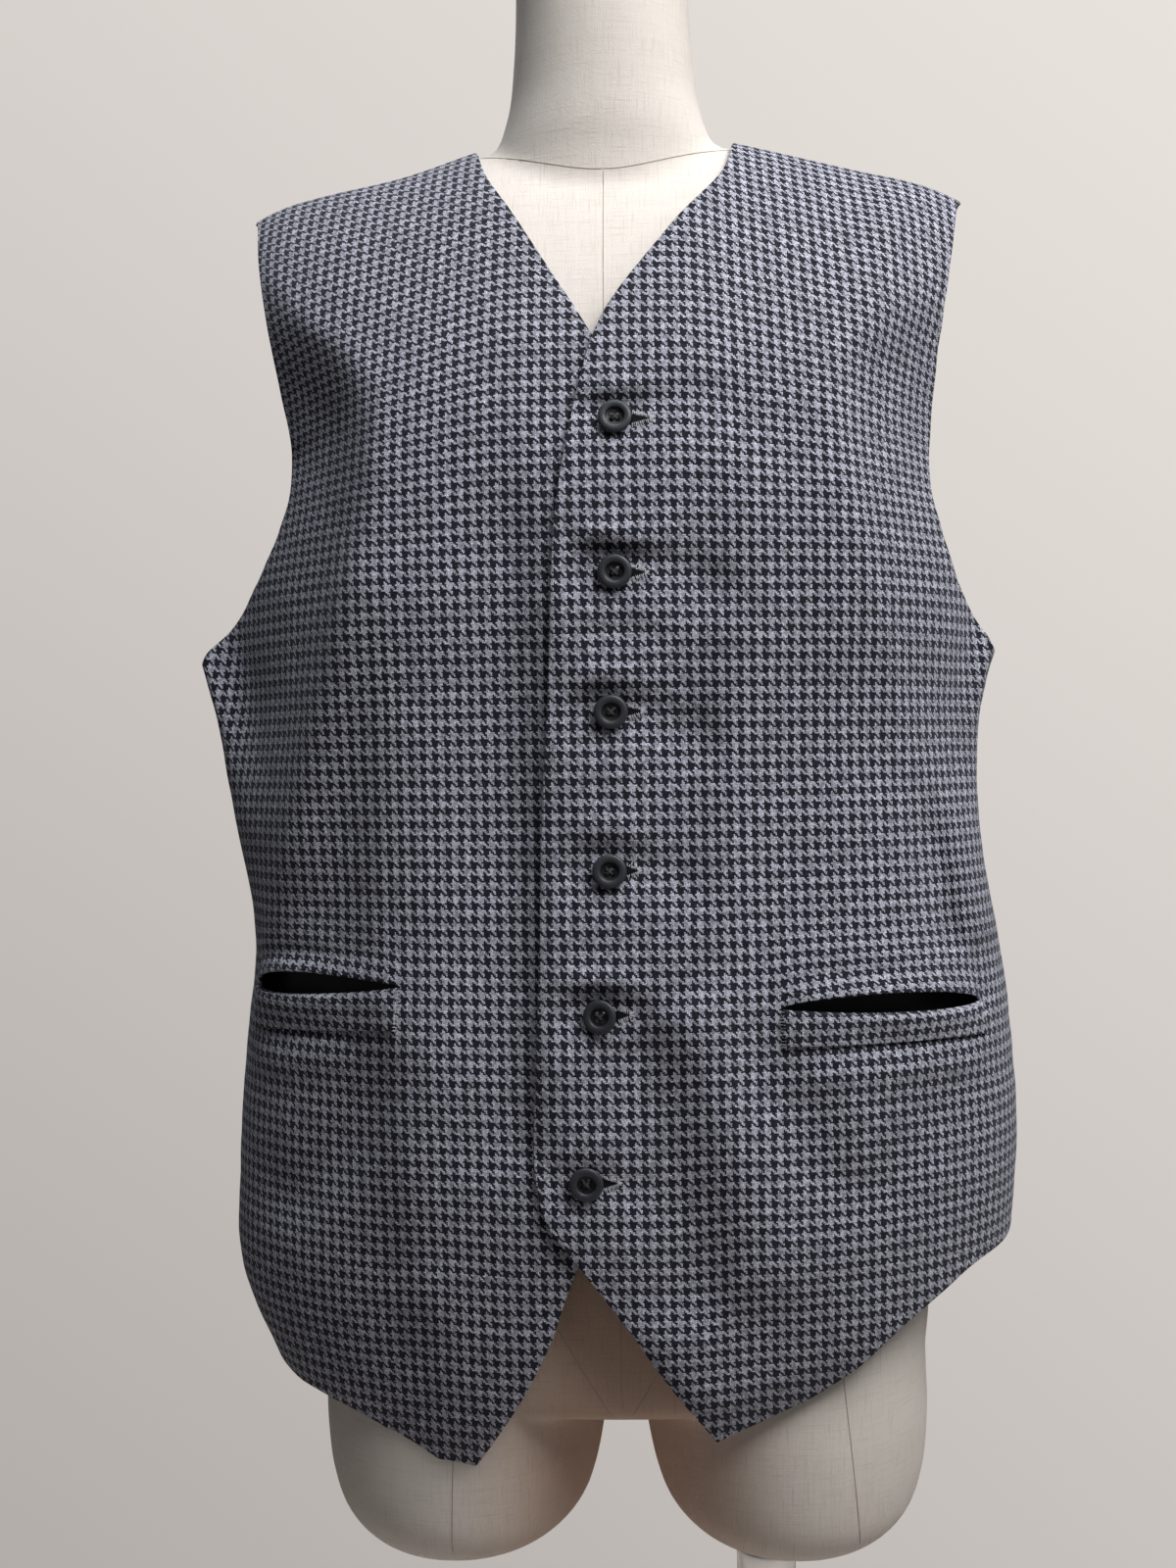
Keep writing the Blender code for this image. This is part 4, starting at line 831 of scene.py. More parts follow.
def add_wall(
    name: str,
    outer: Array,
    inner: Array,
    faces: list[Face],
    chart: Array,
    finishes: Sequence[Material],
    rim: float,
) -> Piece:
    """A closed sheet with rounded rims between two sets of points.

    Args:
        name: The piece's name.
        outer: Points of the right side.
        inner: Points of the wrong side.
        faces: Quads as they are seen from outside.
        chart: Each point's place in the flat cloth, in metres.
        finishes: Materials of the right side, the wrong side and the rim.
        rim: Radius of the rounded rim.

    Returns:
        The new object.
    """
    count = len(outer)
    edges = {(a, b) for face in faces for a, b in zip(face, face[1:] + face[:1])}
    rims = [(a, b) for a, b in edges if (b, a) not in edges]
    every = list(faces)
    every += [tuple(count + corner for corner in reversed(face)) for face in faces]
    every += [(b, a, count + a, count + b) for a, b in rims]
    mesh = new_mesh(name, np.concatenate([outer, inner]), every, *finishes)
    which = np.repeat([0, 1, 2], [len(faces), len(faces), len(rims)]).astype(np.int32)
    mesh.polygons.foreach_set("material_index", which)
    corners = np.empty(len(mesh.loops), np.int32)
    mesh.loops.foreach_get("vertex_index", corners)
    mesh.uv_layers.new(name="cloth").uv.foreach_set("vector", chart[corners % count].ravel())
    ends = np.empty(2 * len(mesh.edges), np.int32)
    mesh.edges.foreach_get("vertices", ends)
    low, high = np.sort(ends.reshape(-1, 2), axis=1).T
    wanted = np.array([[min(a, b), max(a, b)] for a, b in rims])
    keys = wanted[:, 0].astype(np.int64) * 2 * count + wanted[:, 1]
    keys = np.concatenate([keys, keys + count * 2 * count + count])
    weight = np.isin(low.astype(np.int64) * 2 * count + high, keys).astype(np.float32)
    mesh.attributes.new("bevel_weight_edge", "FLOAT", "EDGE").data.foreach_set("value", weight)
    mesh.validate()
    piece = link(name, mesh)
    rounding = piece.modifiers.new("rounded_rim", "BEVEL")
    rounding.limit_method = "WEIGHT"
    rounding.width = rim
    rounding.segments = 3
    rounding.use_clamp_overlap = False
    return piece


def lathe(name: str, profile: Sequence[tuple[float, float]], sides: int, finish: Material) -> Piece:
    """A turned piece, closed at both ends, from (radius, height) pairs listed from the bottom up."""
    turn = np.linspace(0, 2 * math.pi, sides, endpoint=False)
    rings = [
        np.column_stack([radius * np.cos(turn), radius * np.sin(turn), np.full(sides, height)])
        for radius, height in profile
    ]
    mesh = new_mesh(name, np.concatenate(rings), loft_faces(len(rings), sides), finish)
    mesh.set_sharp_from_angle(angle=math.radians(50))
    return link(name, mesh)


def loft_faces(rings: int, sides: int) -> list[Face]:
    """Faces of a body through closed rings numbered from the bottom up, with both caps."""
    faces = []
    for j in range(rings - 1):
        for i in range(sides):
            a, b = j * sides + i, j * sides + (i + 1) % sides
            faces.append((a, b, b + sides, a + sides))
    faces.append(tuple(reversed(range(sides))))
    faces.append(tuple(range((rings - 1) * sides, rings * sides)))
    return faces


def add_tubes(name: str, lines: Iterable[Array], radius: float, finish: Material, sides: int = 6) -> Piece:
    """Round threads along lines of points, closed at their ends, in one mesh."""
    points: list[Array] = []
    faces: list[Face] = []
    turn = np.linspace(0, 2 * math.pi, sides, endpoint=False)
    for line in lines:
        start = sum(len(part) for part in points)
        heading = np.gradient(line, axis=0)
        heading /= np.linalg.norm(heading, axis=1, keepdims=True)
        spare = np.where(np.abs(heading[:, 2:]) > 0.9, [[1.0, 0, 0]], [[0, 0, 1.0]])
        first = np.cross(heading, spare)
        first /= np.linalg.norm(first, axis=1, keepdims=True)
        second = np.cross(heading, first)
        taper = np.ones(len(line))
        taper[[0, -1]] = 0.45
        for point, one, two, size in zip(line, first, second, taper * radius):
            points.append(point + size * (np.outer(np.cos(turn), one) + np.outer(np.sin(turn), two)))
        faces += [tuple(start + corner for corner in face) for face in loft_faces(len(line), sides)]
    return link(name, new_mesh(name, np.concatenate(points), faces, finish))


def applied(piece: Piece) -> Mesh:
    """A new mesh of a piece with its modifiers carried out."""
    bpy.context.view_layer.update()
    graph = bpy.context.evaluated_depsgraph_get()
    return bpy.data.meshes.new_from_object(piece.evaluated_get(graph))


# ---------------------------------------------------------------- finishes


@dataclass(frozen=True)
class Value:
    """A number, place or colour inside a material, which takes the signs of arithmetic."""

    graph: "Graph"
    socket: Socket

    def __add__(self, other: "Number") -> "Value":
        """Their sum."""
        return self.graph.maths("ADD", self, other)

    def __sub__(self, other: "Number") -> "Value":
        """What is left after taking other away."""
        return self.graph.maths("SUBTRACT", self, other)

    def __rsub__(self, other: "Number") -> "Value":
        """What is left of other."""
        return self.graph.maths("SUBTRACT", other, self)

    def __mul__(self, other: "Number") -> "Value":
        """Their product."""
        return self.graph.maths("MULTIPLY", self, other)

    def __pow__(self, other: "Number") -> "Value":
        """A power of it."""
        return self.graph.maths("POWER", self, other)

    def __mod__(self, other: "Number") -> "Value":
        """What is left after dividing by other; it is never negative."""
        return self.graph.maths("FLOORED_MODULO", self, other)

    def __lt__(self, other: "Number") -> "Value":
        """1 where it is less than other, or else 0."""
        return self.graph.maths("LESS_THAN", self, other)

    def __gt__(self, other: "Number") -> "Value":
        """1 where it is more than other, or else 0."""
        return self.graph.maths("GREATER_THAN", self, other)

    def __abs__(self) -> "Value":
        """Its size without its sign."""
        return self.graph.maths("ABSOLUTE", self)


Number = Value | float


class Graph:
    """The nodes of one material, with short calls for what the finishes need."""

    def __init__(self, name: str) -> None:
        """Starts an empty material with a shader and an output."""
        self.material = bpy.data.materials.new(name)
        self.material.use_nodes = True
        self.tree = self.material.node_tree
        self.tree.nodes.clear()
        self.shader = self.tree.nodes.new("ShaderNodeBsdfPrincipled")
        output = self.tree.nodes.new("ShaderNodeOutputMaterial")
        self.tree.links.new(self.shader.outputs["BSDF"], output.inputs["Surface"])

    def put(self, socket: Socket, value: Number | Sequence[float]) -> None:
        """Links a socket, or sets it to a plain value."""
        if isinstance(value, Value):
            self.tree.links.new(value.socket, socket)
        else:
            socket.default_value = value

    def node(self, kind: str, output: int | str, **inputs: Number | Sequence[float]) -> Value:
        """One output of a new node of a kind; an underscore in an input's name stands for a space."""
        made = self.tree.nodes.new(f"ShaderNode{kind}")
        for name, value in inputs.items():
            self.put(made.inputs[name.replace("_", " ")], value)
        return Value(self, made.outputs[output])

    def maths(self, operation: str, *values: Number) -> Value:
        """The result of one maths node."""
        result = self.node("Math", 0)
        result.socket.node.operation = operation
        for socket, value in zip(result.socket.node.inputs, values):
            self.put(socket, value)
        return result

    def between(self, share: Number, a: Number, b: Number) -> Value:
        """A number that goes from a to b as share goes from 0 to 1."""
        return self.node("Mix", 0, Factor=share, A=a, B=b)

    def ease(self, value: Value, low: float, high: float) -> Value:
        """A smooth rise from 0 to 1 as value goes from low to high."""
        result = self.node("MapRange", 0, Value=value, From_Min=low, From_Max=high)
        result.socket.node.interpolation_type = "SMOOTHSTEP"
        return result

    def tint(self, share: Number, a: Value | Triple, b: Value | Triple) -> Value:
        """A colour that goes from a to b as share goes from 0 to 1."""
        node = self.tree.nodes.new("ShaderNodeMix")
        node.data_type = "RGBA"
        self.put(node.inputs[0], share)
        for socket, value in ((node.inputs[6], a), (node.inputs[7], b)):
            self.put(socket, value if isinstance(value, Value) else (*value, 1.0))
        return Value(self, node.outputs[2])

    def shade(self, colour: Value, light: Number) -> Value:
        """A colour made lighter or darker by a factor."""
        result = self.node("VectorMath", 0)
        result.socket.node.operation = "SCALE"
        self.put(result.socket.node.inputs[0], colour)
        self.put(result.socket.node.inputs["Scale"], light)
        return result

    def place(self, kind: str) -> list[Value]:
        """The three coordinates of one kind of texture coordinate."""
        whole = self.node("TexCoord", kind)
        split = self.node("SeparateXYZ", 0, Vector=whole).socket.node
        return [Value(self, output) for output in split.outputs]

    def vector(self, x: Number, y: Number, z: Number = 0.0) -> Value:
        """A vector made of three numbers."""
        return self.node("CombineXYZ", 0, X=x, Y=y, Z=z)

    def noise(self, vector: Value, scale: float, detail: float = 2.0, rough: float = 0.5) -> Value:
        """Soft noise from 0 to 1 around one half."""
        return self.node("TexNoise", 0, Vector=vector, Scale=scale, Detail=detail, Roughness=rough)

    def sway(self, vector: Value, scale: float) -> Value:
        """Long soft noise around zero."""
        return self.noise(vector, scale, 1.0) - 0.5

    def streaks(self, x: Value, y: Value, across: float, up: float) -> Value:
        """Noise that is finer one way than the other."""
        return self.noise(self.vector(x * across, y * up), 1.0)

    def dice(self, number: Number) -> Value:
        """A number from 0 to 1 that differs for each whole number."""
        result = self.node("TexWhiteNoise", "Value")
        result.socket.node.noise_dimensions = "1D"
        self.put(result.socket.node.inputs["W"], number)
        return result

    def bump(self, height: Value, distance: float, strength: float) -> None:
        """Gives the shader a bump of that height in metres."""
        self.set(Normal=self.node("Bump", 0, Height=height, Distance=distance, Strength=strength))

    def set(self, **values: Number | Sequence[float]) -> None:
        """Sets or links the shader's sockets; an underscore stands for a space."""
        for name, value in values.items():
            self.put(self.shader.inputs[name.replace("_", " ")], value)


@dataclass(frozen=True)
class HoundstoothWool:
    """Soft wool in a small houndstooth: four dark and four light yarns each way in a two-and-two twill."""

    name: str = "houndstooth_wool"
    dark: Triple = (0.0082, 0.0086, 0.0235)
    light: Triple = (0.720, 0.730, 0.868)
    across: float = 0.0064
    up: float = 0.0068
    yarns: int = 8
    wobble: float = 1.1

    def build(self) -> Material:
        """The material; its weave is counted in yarns along the cloth's own lengths."""
        g = Graph(self.name)
        u, v, _ = g.place("UV")
        flat, turned = g.vector(u, v), g.vector(v, u)
        s = u * (self.yarns / self.across) + (g.sway(flat, 1100.0) * self.wobble + g.sway(flat, 42.0))
        t = v * (self.yarns / self.up) + g.sway(turned, 900.0) * self.wobble
        i, j = g.maths("FLOOR", s), g.maths("FLOOR", t)
        half = self.yarns / 2
        warp_dark, weft_dark = i % float(self.yarns) < half, j % float(self.yarns) < half
        over = (i + j) % half < half / 2
        dark = g.between(over, weft_dark, warp_dark)
        across, upward = (1.0 - abs(g.maths("FRACT", count) - 0.5) ** 2.0 for count in (s, t))
        crown = (g.between(over, upward, across) - 0.75) * 4.0
        yarn = g.between(over, g.dice(j + 311.5), g.dice(i))
        fibres = g.noise(g.vector(s * 1.6, t * 1.6), 1.0, 3.0, 0.7)
        strokes = g.noise(g.vector((s - t) * 0.40, (s + t) * 1.6), 1.0)
        cloud = g.noise(flat, 16.0)
        patch = g.ease(g.noise(turned, 340.0, 1.0), 0.30, 0.70)
        felt = g.ease(g.noise(flat, 2600.0, 2.0, 0.6), 0.42, 0.70)
        colour = g.tint(g.between(felt * 0.12, dark, 0.40), self.light, self.dark)
        tone = yarn * 0.15 + 0.01 + g.ease(fibres, 0.25, 0.75) * 0.48 + g.ease(strokes, 0.32, 0.70) * 0.58
        # Painted shade: the tone falls from each yarn's crown towards its edges, where the yarns dip; the
        # other factors are random tone.
        tone = tone * (crown * 0.44 + 0.62) * (patch * 0.62 + 0.60) * (cloud * 0.16 + 0.92)
        g.set(
            Base_Color=g.shade(colour, tone),
            Roughness=fibres * 0.14 + 0.84,
            Sheen_Weight=0.16,
            Sheen_Roughness=0.45,
            Sheen_Tint=(0.80, 0.84, 0.95, 1.0),
            Specular_IOR_Level=0.18,
        )
        g.bump(crown + fibres * 0.9, 0.00022, 0.75)
        return g.material


@dataclass(frozen=True)
class Satin:
    """Smooth twill-faced satin or lining with a fine lengthwise grain."""

    name: str = "navy_satin"
    colour: Triple = (0.0085, 0.0110, 0.0330)
    shine: Triple = (0.0140, 0.0180, 0.0480)
    roughness: float = 0.34
    yarn: float = 0.00018

    def build(self) -> Material:
        """The material."""
        g = Graph(self.name)
        u, v, _ = g.place("UV")
        ribs = g.maths("SINE", (u + v * 0.55) * (2 * math.pi / (4 * self.yarn)))
        slub = g.streaks(u, v, 900.0, 40.0)
        cloud = g.noise(g.vector(u, v), 22.0, 3.0)
        g.set(
            Base_Color=g.tint(slub * 0.6 + cloud * 0.4, self.colour, self.shine),
            Roughness=slub * 0.14 + (self.roughness - 0.06),
            Sheen_Weight=0.08,
            Specular_IOR_Level=0.55,
            Anisotropic=0.35,
        )
        g.bump(ribs * 0.25 + slub, 0.00007, 0.6)
        return g.material


@dataclass(frozen=True)
class Linen:
    """Unbleached plain-weave linen with slubs, in the lengths of the object itself, with painted warm shade
    at the fork.
    """

    name: str = "linen"
    pale: Triple = (0.830, 0.785, 0.740)
    deep: Triple = (0.500, 0.440, 0.385)
    pale_in_painted_fork_shade: Triple = (0.600, 0.400, 0.300)
    deep_in_painted_fork_shade: Triple = (0.300, 0.180, 0.125)
    yarn: float = 0.00062

    def build(self) -> Material:
        """The material; the weave turns from the front to the sides with the surface."""
        g = Graph(self.name)
        x, y, z = g.place("Object")
        nx, ny, nz = g.place("Normal")
        across = g.between(abs(nx) > abs(ny), x, y)
        upward = g.between(abs(nz) > 0.75, z, y)
        flat = g.vector(across, upward)
        sway = g.sway(flat, 380.0) * 1.2
        s, t = across * (1 / self.yarn) + sway, upward * (1 / self.yarn) + sway
        i, j = g.maths("FLOOR", s), g.maths("FLOOR", t)
        warp, weft = (g.maths("SINE", g.maths("FRACT", count) * math.pi) for count in (s, t))
        over = (i + j) % 2.0
        crown = g.between(over, weft, warp)
        yarn = g.between(over, g.dice(j + 57.5), g.dice(i))
        slub = g.maths(
            "MAXIMUM", g.streaks(across, upward, 60.0, 900.0), g.streaks(across, upward, 900.0, 60.0)
        )
        fleck = g.ease(g.noise(flat, 700.0, 2.0, 0.6), 0.66, 0.80)
        # Painted shade: the colour deepens where each yarn dips away from its crown; yarn, fleck and slub add
        # random tone.
        share = yarn * 0.14 + (1.0 - crown) * 0.40
        share = share + (fleck * 0.35 + g.ease(slub, 0.52, 0.80) * 0.30)
        # Painted warm shade: the linen turns darker and browner low in the middle between the thighs, under
        # the waistcoat; the faint noise on top adds random tone.
        fork = (1.0 - g.ease(abs(x), 0.02, 0.10)) * g.ease(z, 0.90, 0.78)
        fork_shade_and_mottle = fork * 0.85 + g.noise(flat, 14.0, 3.0) * 0.06
        pale, deep = g.tint(fork_shade_and_mottle, self.pale, self.pale_in_painted_fork_shade), g.tint(fork_shade_and_mottle, self.deep, self.deep_in_painted_fork_shade)
        g.set(
            Base_Color=g.tint(share, pale, deep),
            Roughness=slub * 0.15 + 0.82,
            Sheen_Weight=0.10,
            Specular_IOR_Level=0.25,
        )
        g.bump(crown + slub * 1.8, 0.00016, 0.8)
        return g.material


@dataclass(frozen=True)
class Horn:
    """Dark polished button stock with faint clouds and a painted highlight on the top of its rim."""

    name: str = "black_button"
    colour: Triple = (0.0055, 0.0058, 0.0075)
    cloud: Triple = (0.012, 0.0125, 0.016)
    rim_painted_highlight: Triple = (0.030, 0.032, 0.040)
    roughness: float = 0.44

    def build(self) -> Material:
        """The material."""
        g = Graph(self.name)
        x, y, z = g.place("Object")
        clouds = g.noise(g.vector(x, y, z), 260.0, 3.0, 0.6)
        scratches = g.noise(g.vector(x * 400.0, y * 4000.0, z), 1.0)
        stock = g.tint(g.ease(clouds, 0.45, 0.75), self.colour, self.cloud)
        g.set(
            # Painted highlight: the top of the rim, above 1.9 mm, is given a lighter colour, broken up by the
            # clouds.
            Base_Color=g.tint(g.ease(z, 0.0019, 0.0027) * (clouds + 0.6), stock, self.rim_painted_highlight),
            Roughness=scratches * 0.16 + (self.roughness - 0.05),
            Coat_Weight=0.10,
            Coat_Roughness=0.20,
            Specular_IOR_Level=0.32,
        )
        g.bump(clouds + scratches * 0.3, 0.00004, 0.5)
        return g.material


@dataclass(frozen=True)
class Thread:
    """Twisted sewing thread."""

    name: str
    colour: Triple
    glint: Triple
    sheen: float = 0.25
    gloss: float = 0.5

    def build(self) -> Material:
        """The material."""
        g = Graph(self.name)
        spot = g.vector(*g.place("Object"))
        twist, fuzz = g.noise(spot, 5200.0), g.noise(spot, 1300.0)
        g.set(
            Base_Color=g.tint(g.ease(twist, 0.35, 0.7), self.colour, self.glint),
            Roughness=fuzz * 0.3 + 0.55,
            Sheen_Weight=self.sheen,
            Specular_IOR_Level=self.gloss,
        )
        g.bump(twist, 0.00008, 0.8)
        return g.material


@dataclass(frozen=True)
class Metal:
    """Plated or brushed metal with faint turning marks and smudges."""

    name: str
    colour: Triple
    roughness: float
    smudge: float

    def build(self) -> Material:
        """The material."""
        g = Graph(self.name)
        x, y, z = g.place("Object")
        smudges = g.noise(g.vector(x, y, z), 14.0, 4.0, 0.6)
        rings = g.noise(g.vector((x * x + y * y) ** 0.5, z), 900.0)
        g.set(
            Base_Color=g.tint(smudges, self.colour, tuple(0.9 * part for part in self.colour)),
            Metallic=1.0,
            Roughness=smudges * self.smudge + self.roughness,
        )
        g.bump(rings + smudges * 0.5, 0.00002, 0.4)
        return g.material


@dataclass(frozen=True)
class Paint:
    """Matt pale paint with a faint roller texture, for the studio."""

    name: str
    colour: Triple

    def build(self) -> Material:
        """The material."""
        g = Graph(self.name)
        spot = g.vector(*g.place("Object"))
        grain, cloud = g.noise(spot, 420.0, 3.0), g.noise(spot, 1.6)
        g.set(
            Base_Color=g.tint(cloud, self.colour, tuple(0.96 * part for part in self.colour)),
            Roughness=grain * 0.15 + 0.80,
            Specular_IOR_Level=0.2,
        )
        g.bump(grain, 0.0002, 0.3)
        return g.material


class Wardrobe:
    """Every finish of the picture, made once."""

    def __init__(self) -> None:
        """Makes them."""
        self.wool = HoundstoothWool().build()
        self.satin = Satin().build()
        self.lining = Satin("dark_lining", (0.010, 0.011, 0.016), (0.02, 0.021, 0.028), 0.5).build()
        self.linen = Linen().build()
        self.horn = Horn().build()
        self.dark_thread = Thread("dark_thread", (0.010, 0.010, 0.013), (0.045, 0.045, 0.055)).build()
        self.grey_thread = Thread("grey_thread", (0.180, 0.182, 0.200), (0.620, 0.625, 0.680)).build()
        # Painted shade: near-black, dull strands that stand for the shade inside the buttonhole slits.
        self.painted_slit_shade = Thread("painted_slit_shade", (0.003,) * 3, (0.010, 0.010, 0.014), 0, 0.08).build()
        self.seam_thread = Thread("seam_thread", (0.300, 0.265, 0.225), (0.480, 0.430, 0.370)).build()
        self.chrome = Metal("chrome", (0.80, 0.80, 0.81), 0.08, 0.10).build()
        self.steel = Metal("steel_plate", (0.55, 0.55, 0.56), 0.30, 0.18).build()
        self.paint = Paint("studio_paint", (0.69, 0.625, 0.57)).build()


# ---------------------------------------------------------------- the waistcoat


@dataclass
class FrontPanel:
    """A wool front with its welt pocket, as a fine grid of angles and levels."""

    side: Wearer
    surface: BodySurface
    chart: ClothChart
    edge: tuple[Mark, ...]
    hem: tuple[Mark, ...]
    hem_at_seam: float
    rows: tuple[Row, ...]
    mouth: Mouth
    lift: float = 0.0
    wall: float = 0.0022
    seam_half: float = 0.0003
    lift_full: float = 0.030
    lift_gone: float = 0.075
    lip_pout: float = 0.0036
    lip_roll: float = 0.0032
    lip_width: float = 0.28
    lip_fall: float = 0.4
    fall_at: float = 0.62
    fall_width: float = 0.2
    seam_swell: float = 0.0026
    swell_at: float = -0.50
    swell_width: float = 0.30
    welt_turn: float = 0.0014
    turn_width: float = 0.22
    sag: float = 0.30
    level_height: float = 0.060
    laid_on: float = 0.0005
    welt_wall: float = 0.0014
    welt_drop: float = 0.0006
    welt_rim: float = 0.0005
    tack_reach: tuple[float, float] = (0.30, 0.55)
    tack_back: float = 0.15
    tack_lift: float = 0.0004
    tack_sway: float = 0.004
    tack_radius: float = 0.00026
    pouch_wall: float = 0.0010
    pouch_depth: float = 0.0085
    pouch_rim: float = 0.0003
    rim: float = 0.0009

    def __post_init__(self) -> None:
        """Lays out the grid between the front edge, the hem, the side seam, the armhole and the ridge."""
        self.sign = self.side.value
        self.word = self.side.name.lower()
        self.running = [0.0]
        for number, row in enumerate(self.rows[:-1]):
            steps = row.steps * FINE
            self.running += [number + (k + 1) / steps for k in range(steps)]
        self.mouth_row = FINE * sum(row.steps for row in self.rows[:POCKET_GUIDE])
        self.welt_rows = FINE * self.rows[POCKET_GUIDE - 1].steps
        self.before = FINE * self.mouth.before
        self.along = FINE * self.mouth.along
        self.columns = self.before + self.along + FINE * self.mouth.past + 1
        self.lay_out()

    def edge_angle(self, level: Array) -> Array:
        """Angle of the front edge at a level; it ends on the ridge at the neck point."""
        angles, levels = self.surface.find(column(self.edge, "x"), column(self.edge, "z"))
        last = self.surface.ridge_angle(self.sign * self.surface.neck_half)
        knots = np.append(levels, self.surface.top)
        return smooth_through(knots, np.append(angles, last), level)

    def outer_angle(self, level: Array) -> Array:
        """Angle of the side seam and, above the underarm, of the armhole."""
        tip = self.surface.ridge_angle(self.sign * self.surface.tip_half)
        return side_outline(self.surface, self.side, FRONT_ARMHOLE, tip, level, -self.sign * self.seam_half)

    def lay_out(self) -> None:
        """Fills the grid's angles and levels."""
        surface = self.surface
        guide = np.arange(len(self.rows))
        inner = np.interp(self.running, guide, surface.level_of(column(self.rows, "inner")))
        outer = np.interp(self.running, guide, surface.level_of(column(self.rows, "outer")))
        self.side_levels = outer
        inner_angle, outer_angle = self.edge_angle(inner), self.outer_angle(outer)
        start, end = inner_angle[self.mouth_row], outer_angle[self.mouth_row]
        stops = np.array([start, self.mouth.inner, self.mouth.outer, end])
        counts = [0, self.before, self.before + self.along, self.columns - 1]
        along = np.interp(np.arange(self.columns), counts, (stops - start) / (end - start))
        across = along[None, :]
        self.angle = inner_angle[:, None] * (1 - across) + outer_angle[:, None] * across
        self.level = inner[:, None] * (1 - across) + outer[:, None] * across
        angles, levels = surface.find(column(self.hem, "x"), column(self.hem, "z"))
        knots = np.append(angles, self.outer_angle(outer[:1]))
        curve = np.append(levels, surface.level_of(self.hem_at_seam))
        bottom = smooth_through(self.sign * knots, curve, self.sign * self.angle[0])
        fade = np.clip(1 - np.arange(len(self.running)) / (self.mouth_row - self.welt_rows), 0, 1)
        self.level += fade[:, None] * (bottom - self.level[0])[None, :]
        self.level[-1] = surface.top

    def openness(self) -> Array:
        """How open the mouth is at each column, from 0 at its ends to 1."""
        share = np.clip((np.arange(self.columns) - self.before) / self.along, 0, 1) ** self.mouth.skew
        return np.clip(np.sin(np.pi * share), 0, 1) ** 0.6

    def opened(self) -> tuple[Array, Array, Array, list[Face]]:
        """The panel with its mouth open.

        Returns:
            Angles, levels and outward pushes of the points, and the faces.
        """
        columns, mouth = self.columns, self.mouth_row
        shape = self.openness()
        rise = self.mouth.gape / self.level_height * shape
        away = (np.arange(len(self.running)) - mouth) / FINE
        fade = np.clip(1 - np.abs(away) / 2, 0, 1) ** 1.5
        share = np.where(away <= 0, -self.sag, 1 - self.sag)
        level = self.level + (fade * share)[:, None] * rise[None, :]
        swell = np.cos(np.clip(np.abs(away) / 2, 0, 1) * np.pi / 2) ** 1.3
        fall = self.lip_fall * bell(away, self.fall_at, self.fall_width)
        roll = self.lip_roll * (bell(away, 0, self.lip_width) - fall)
        roll = np.where(away > 0, roll, -self.welt_turn * bell(away, 0, self.turn_width))
        under = away + self.welt_rows / FINE
        roll += self.seam_swell * bell(under, self.swell_at, self.swell_width) * (under < 0)
        push = (self.lip_pout * swell + roll)[:, None] * shape[None, :]
        lip = slice(self.before + 1, self.before + self.along)
        angle = np.append(self.angle.ravel(), self.angle[mouth, lip])
        upper = self.level[mouth, lip] + (1 - self.sag) * rise[lip]
        level = np.append(level.ravel(), upper)
        push = np.append(push.ravel(), (0.9 * self.lip_pout + self.lip_roll) * shape[lip])
        first = len(self.running) * columns - lip.start
        faces = []
        for quad in grid_faces(len(self.running), columns, flip=self.sign < 0):
            if min(quad) // columns == mouth:
                quad = tuple(
                    first + corner % columns
                    if corner // columns == mouth and lip.start <= corner % columns < lip.stop
                    else corner
                    for corner in quad
                )
            faces.append(quad)
        return angle, level, push, faces

    def points(self, angle: Array, level: Array, out: Array | float) -> Array:
        """Points of the surface moved outwards; on the ridge they keep half a seam's gap."""
        base = self.surface.point(angle, level)
        normal = self.surface.normal(angle, level)
        near = 1 - soft_step(self.sign * base[..., 0], self.lift_full, self.lift_gone)
        moved = base + (out + self.lift * near)[..., None] * normal
        moved[..., 1] -= np.where(level > self.surface.top - 1e-6, self.seam_half, 0)
        return moved

    def hang(self, piece: Piece, chart: Array, faces: list[Face], carrier: str) -> Piece:
        """Returns the piece as it is."""
        return piece

    def add_front(self, wardrobe: Wardrobe) -> Piece:
        """The wool front."""
        angle, level, push, faces = self.opened()
        outer = self.points(angle, level, push)
        inner = self.points(angle, level, push - self.wall)
        lip = slice(self.before + 1, self.before + self.along)
        flat_angle = np.append(self.angle.ravel(), self.angle[self.mouth_row, lip])
        flat_level = np.append(self.level.ravel(), self.level[self.mouth_row, lip])
        chart = self.chart.lengths(flat_angle, flat_level)
        finishes = (wardrobe.wool, wardrobe.lining, wardrobe.wool)
        piece = add_wall(f"wool_front_{self.word}", outer, inner, faces, chart, finishes, self.rim)
        present(piece, "wool", f"front_{self.word}")
        return self.hang(piece, chart, faces, "dress_form")

    def add_welt(self, wardrobe: Wardrobe) -> Piece:
        """The folded strip below the mouth, made from the panel's own points moved out."""
        angle, level, push, _ = self.opened()
        first, last = self.before, self.before + self.along
        rows = range(self.mouth_row - self.welt_rows, self.mouth_row + 1)
        pick = [j * self.columns + i for j in rows for i in range(first, last + 1)]
        mouth = slice(self.mouth_row * self.columns, (self.mouth_row + 1) * self.columns)
        level[mouth] -= self.welt_drop / self.level_height
        outer = self.points(angle[pick], level[pick], push[pick] + self.laid_on + self.welt_wall)
        inner = self.points(angle[pick], level[pick], push[pick] + self.laid_on)
        faces = grid_faces(len(rows), last - first + 1, flip=self.sign < 0)
        chart = self.chart.lengths(self.angle.ravel()[pick], self.level.ravel()[pick])
        finishes = (wardrobe.wool,) * 3
        piece = add_wall(f"wool_welt_{self.word}", outer, inner, faces, chart, finishes, self.welt_rim)
        present(piece, "wool", f"welt_{self.word}")
        return self.hang(piece, chart, faces, f"wool_front_{self.word}")

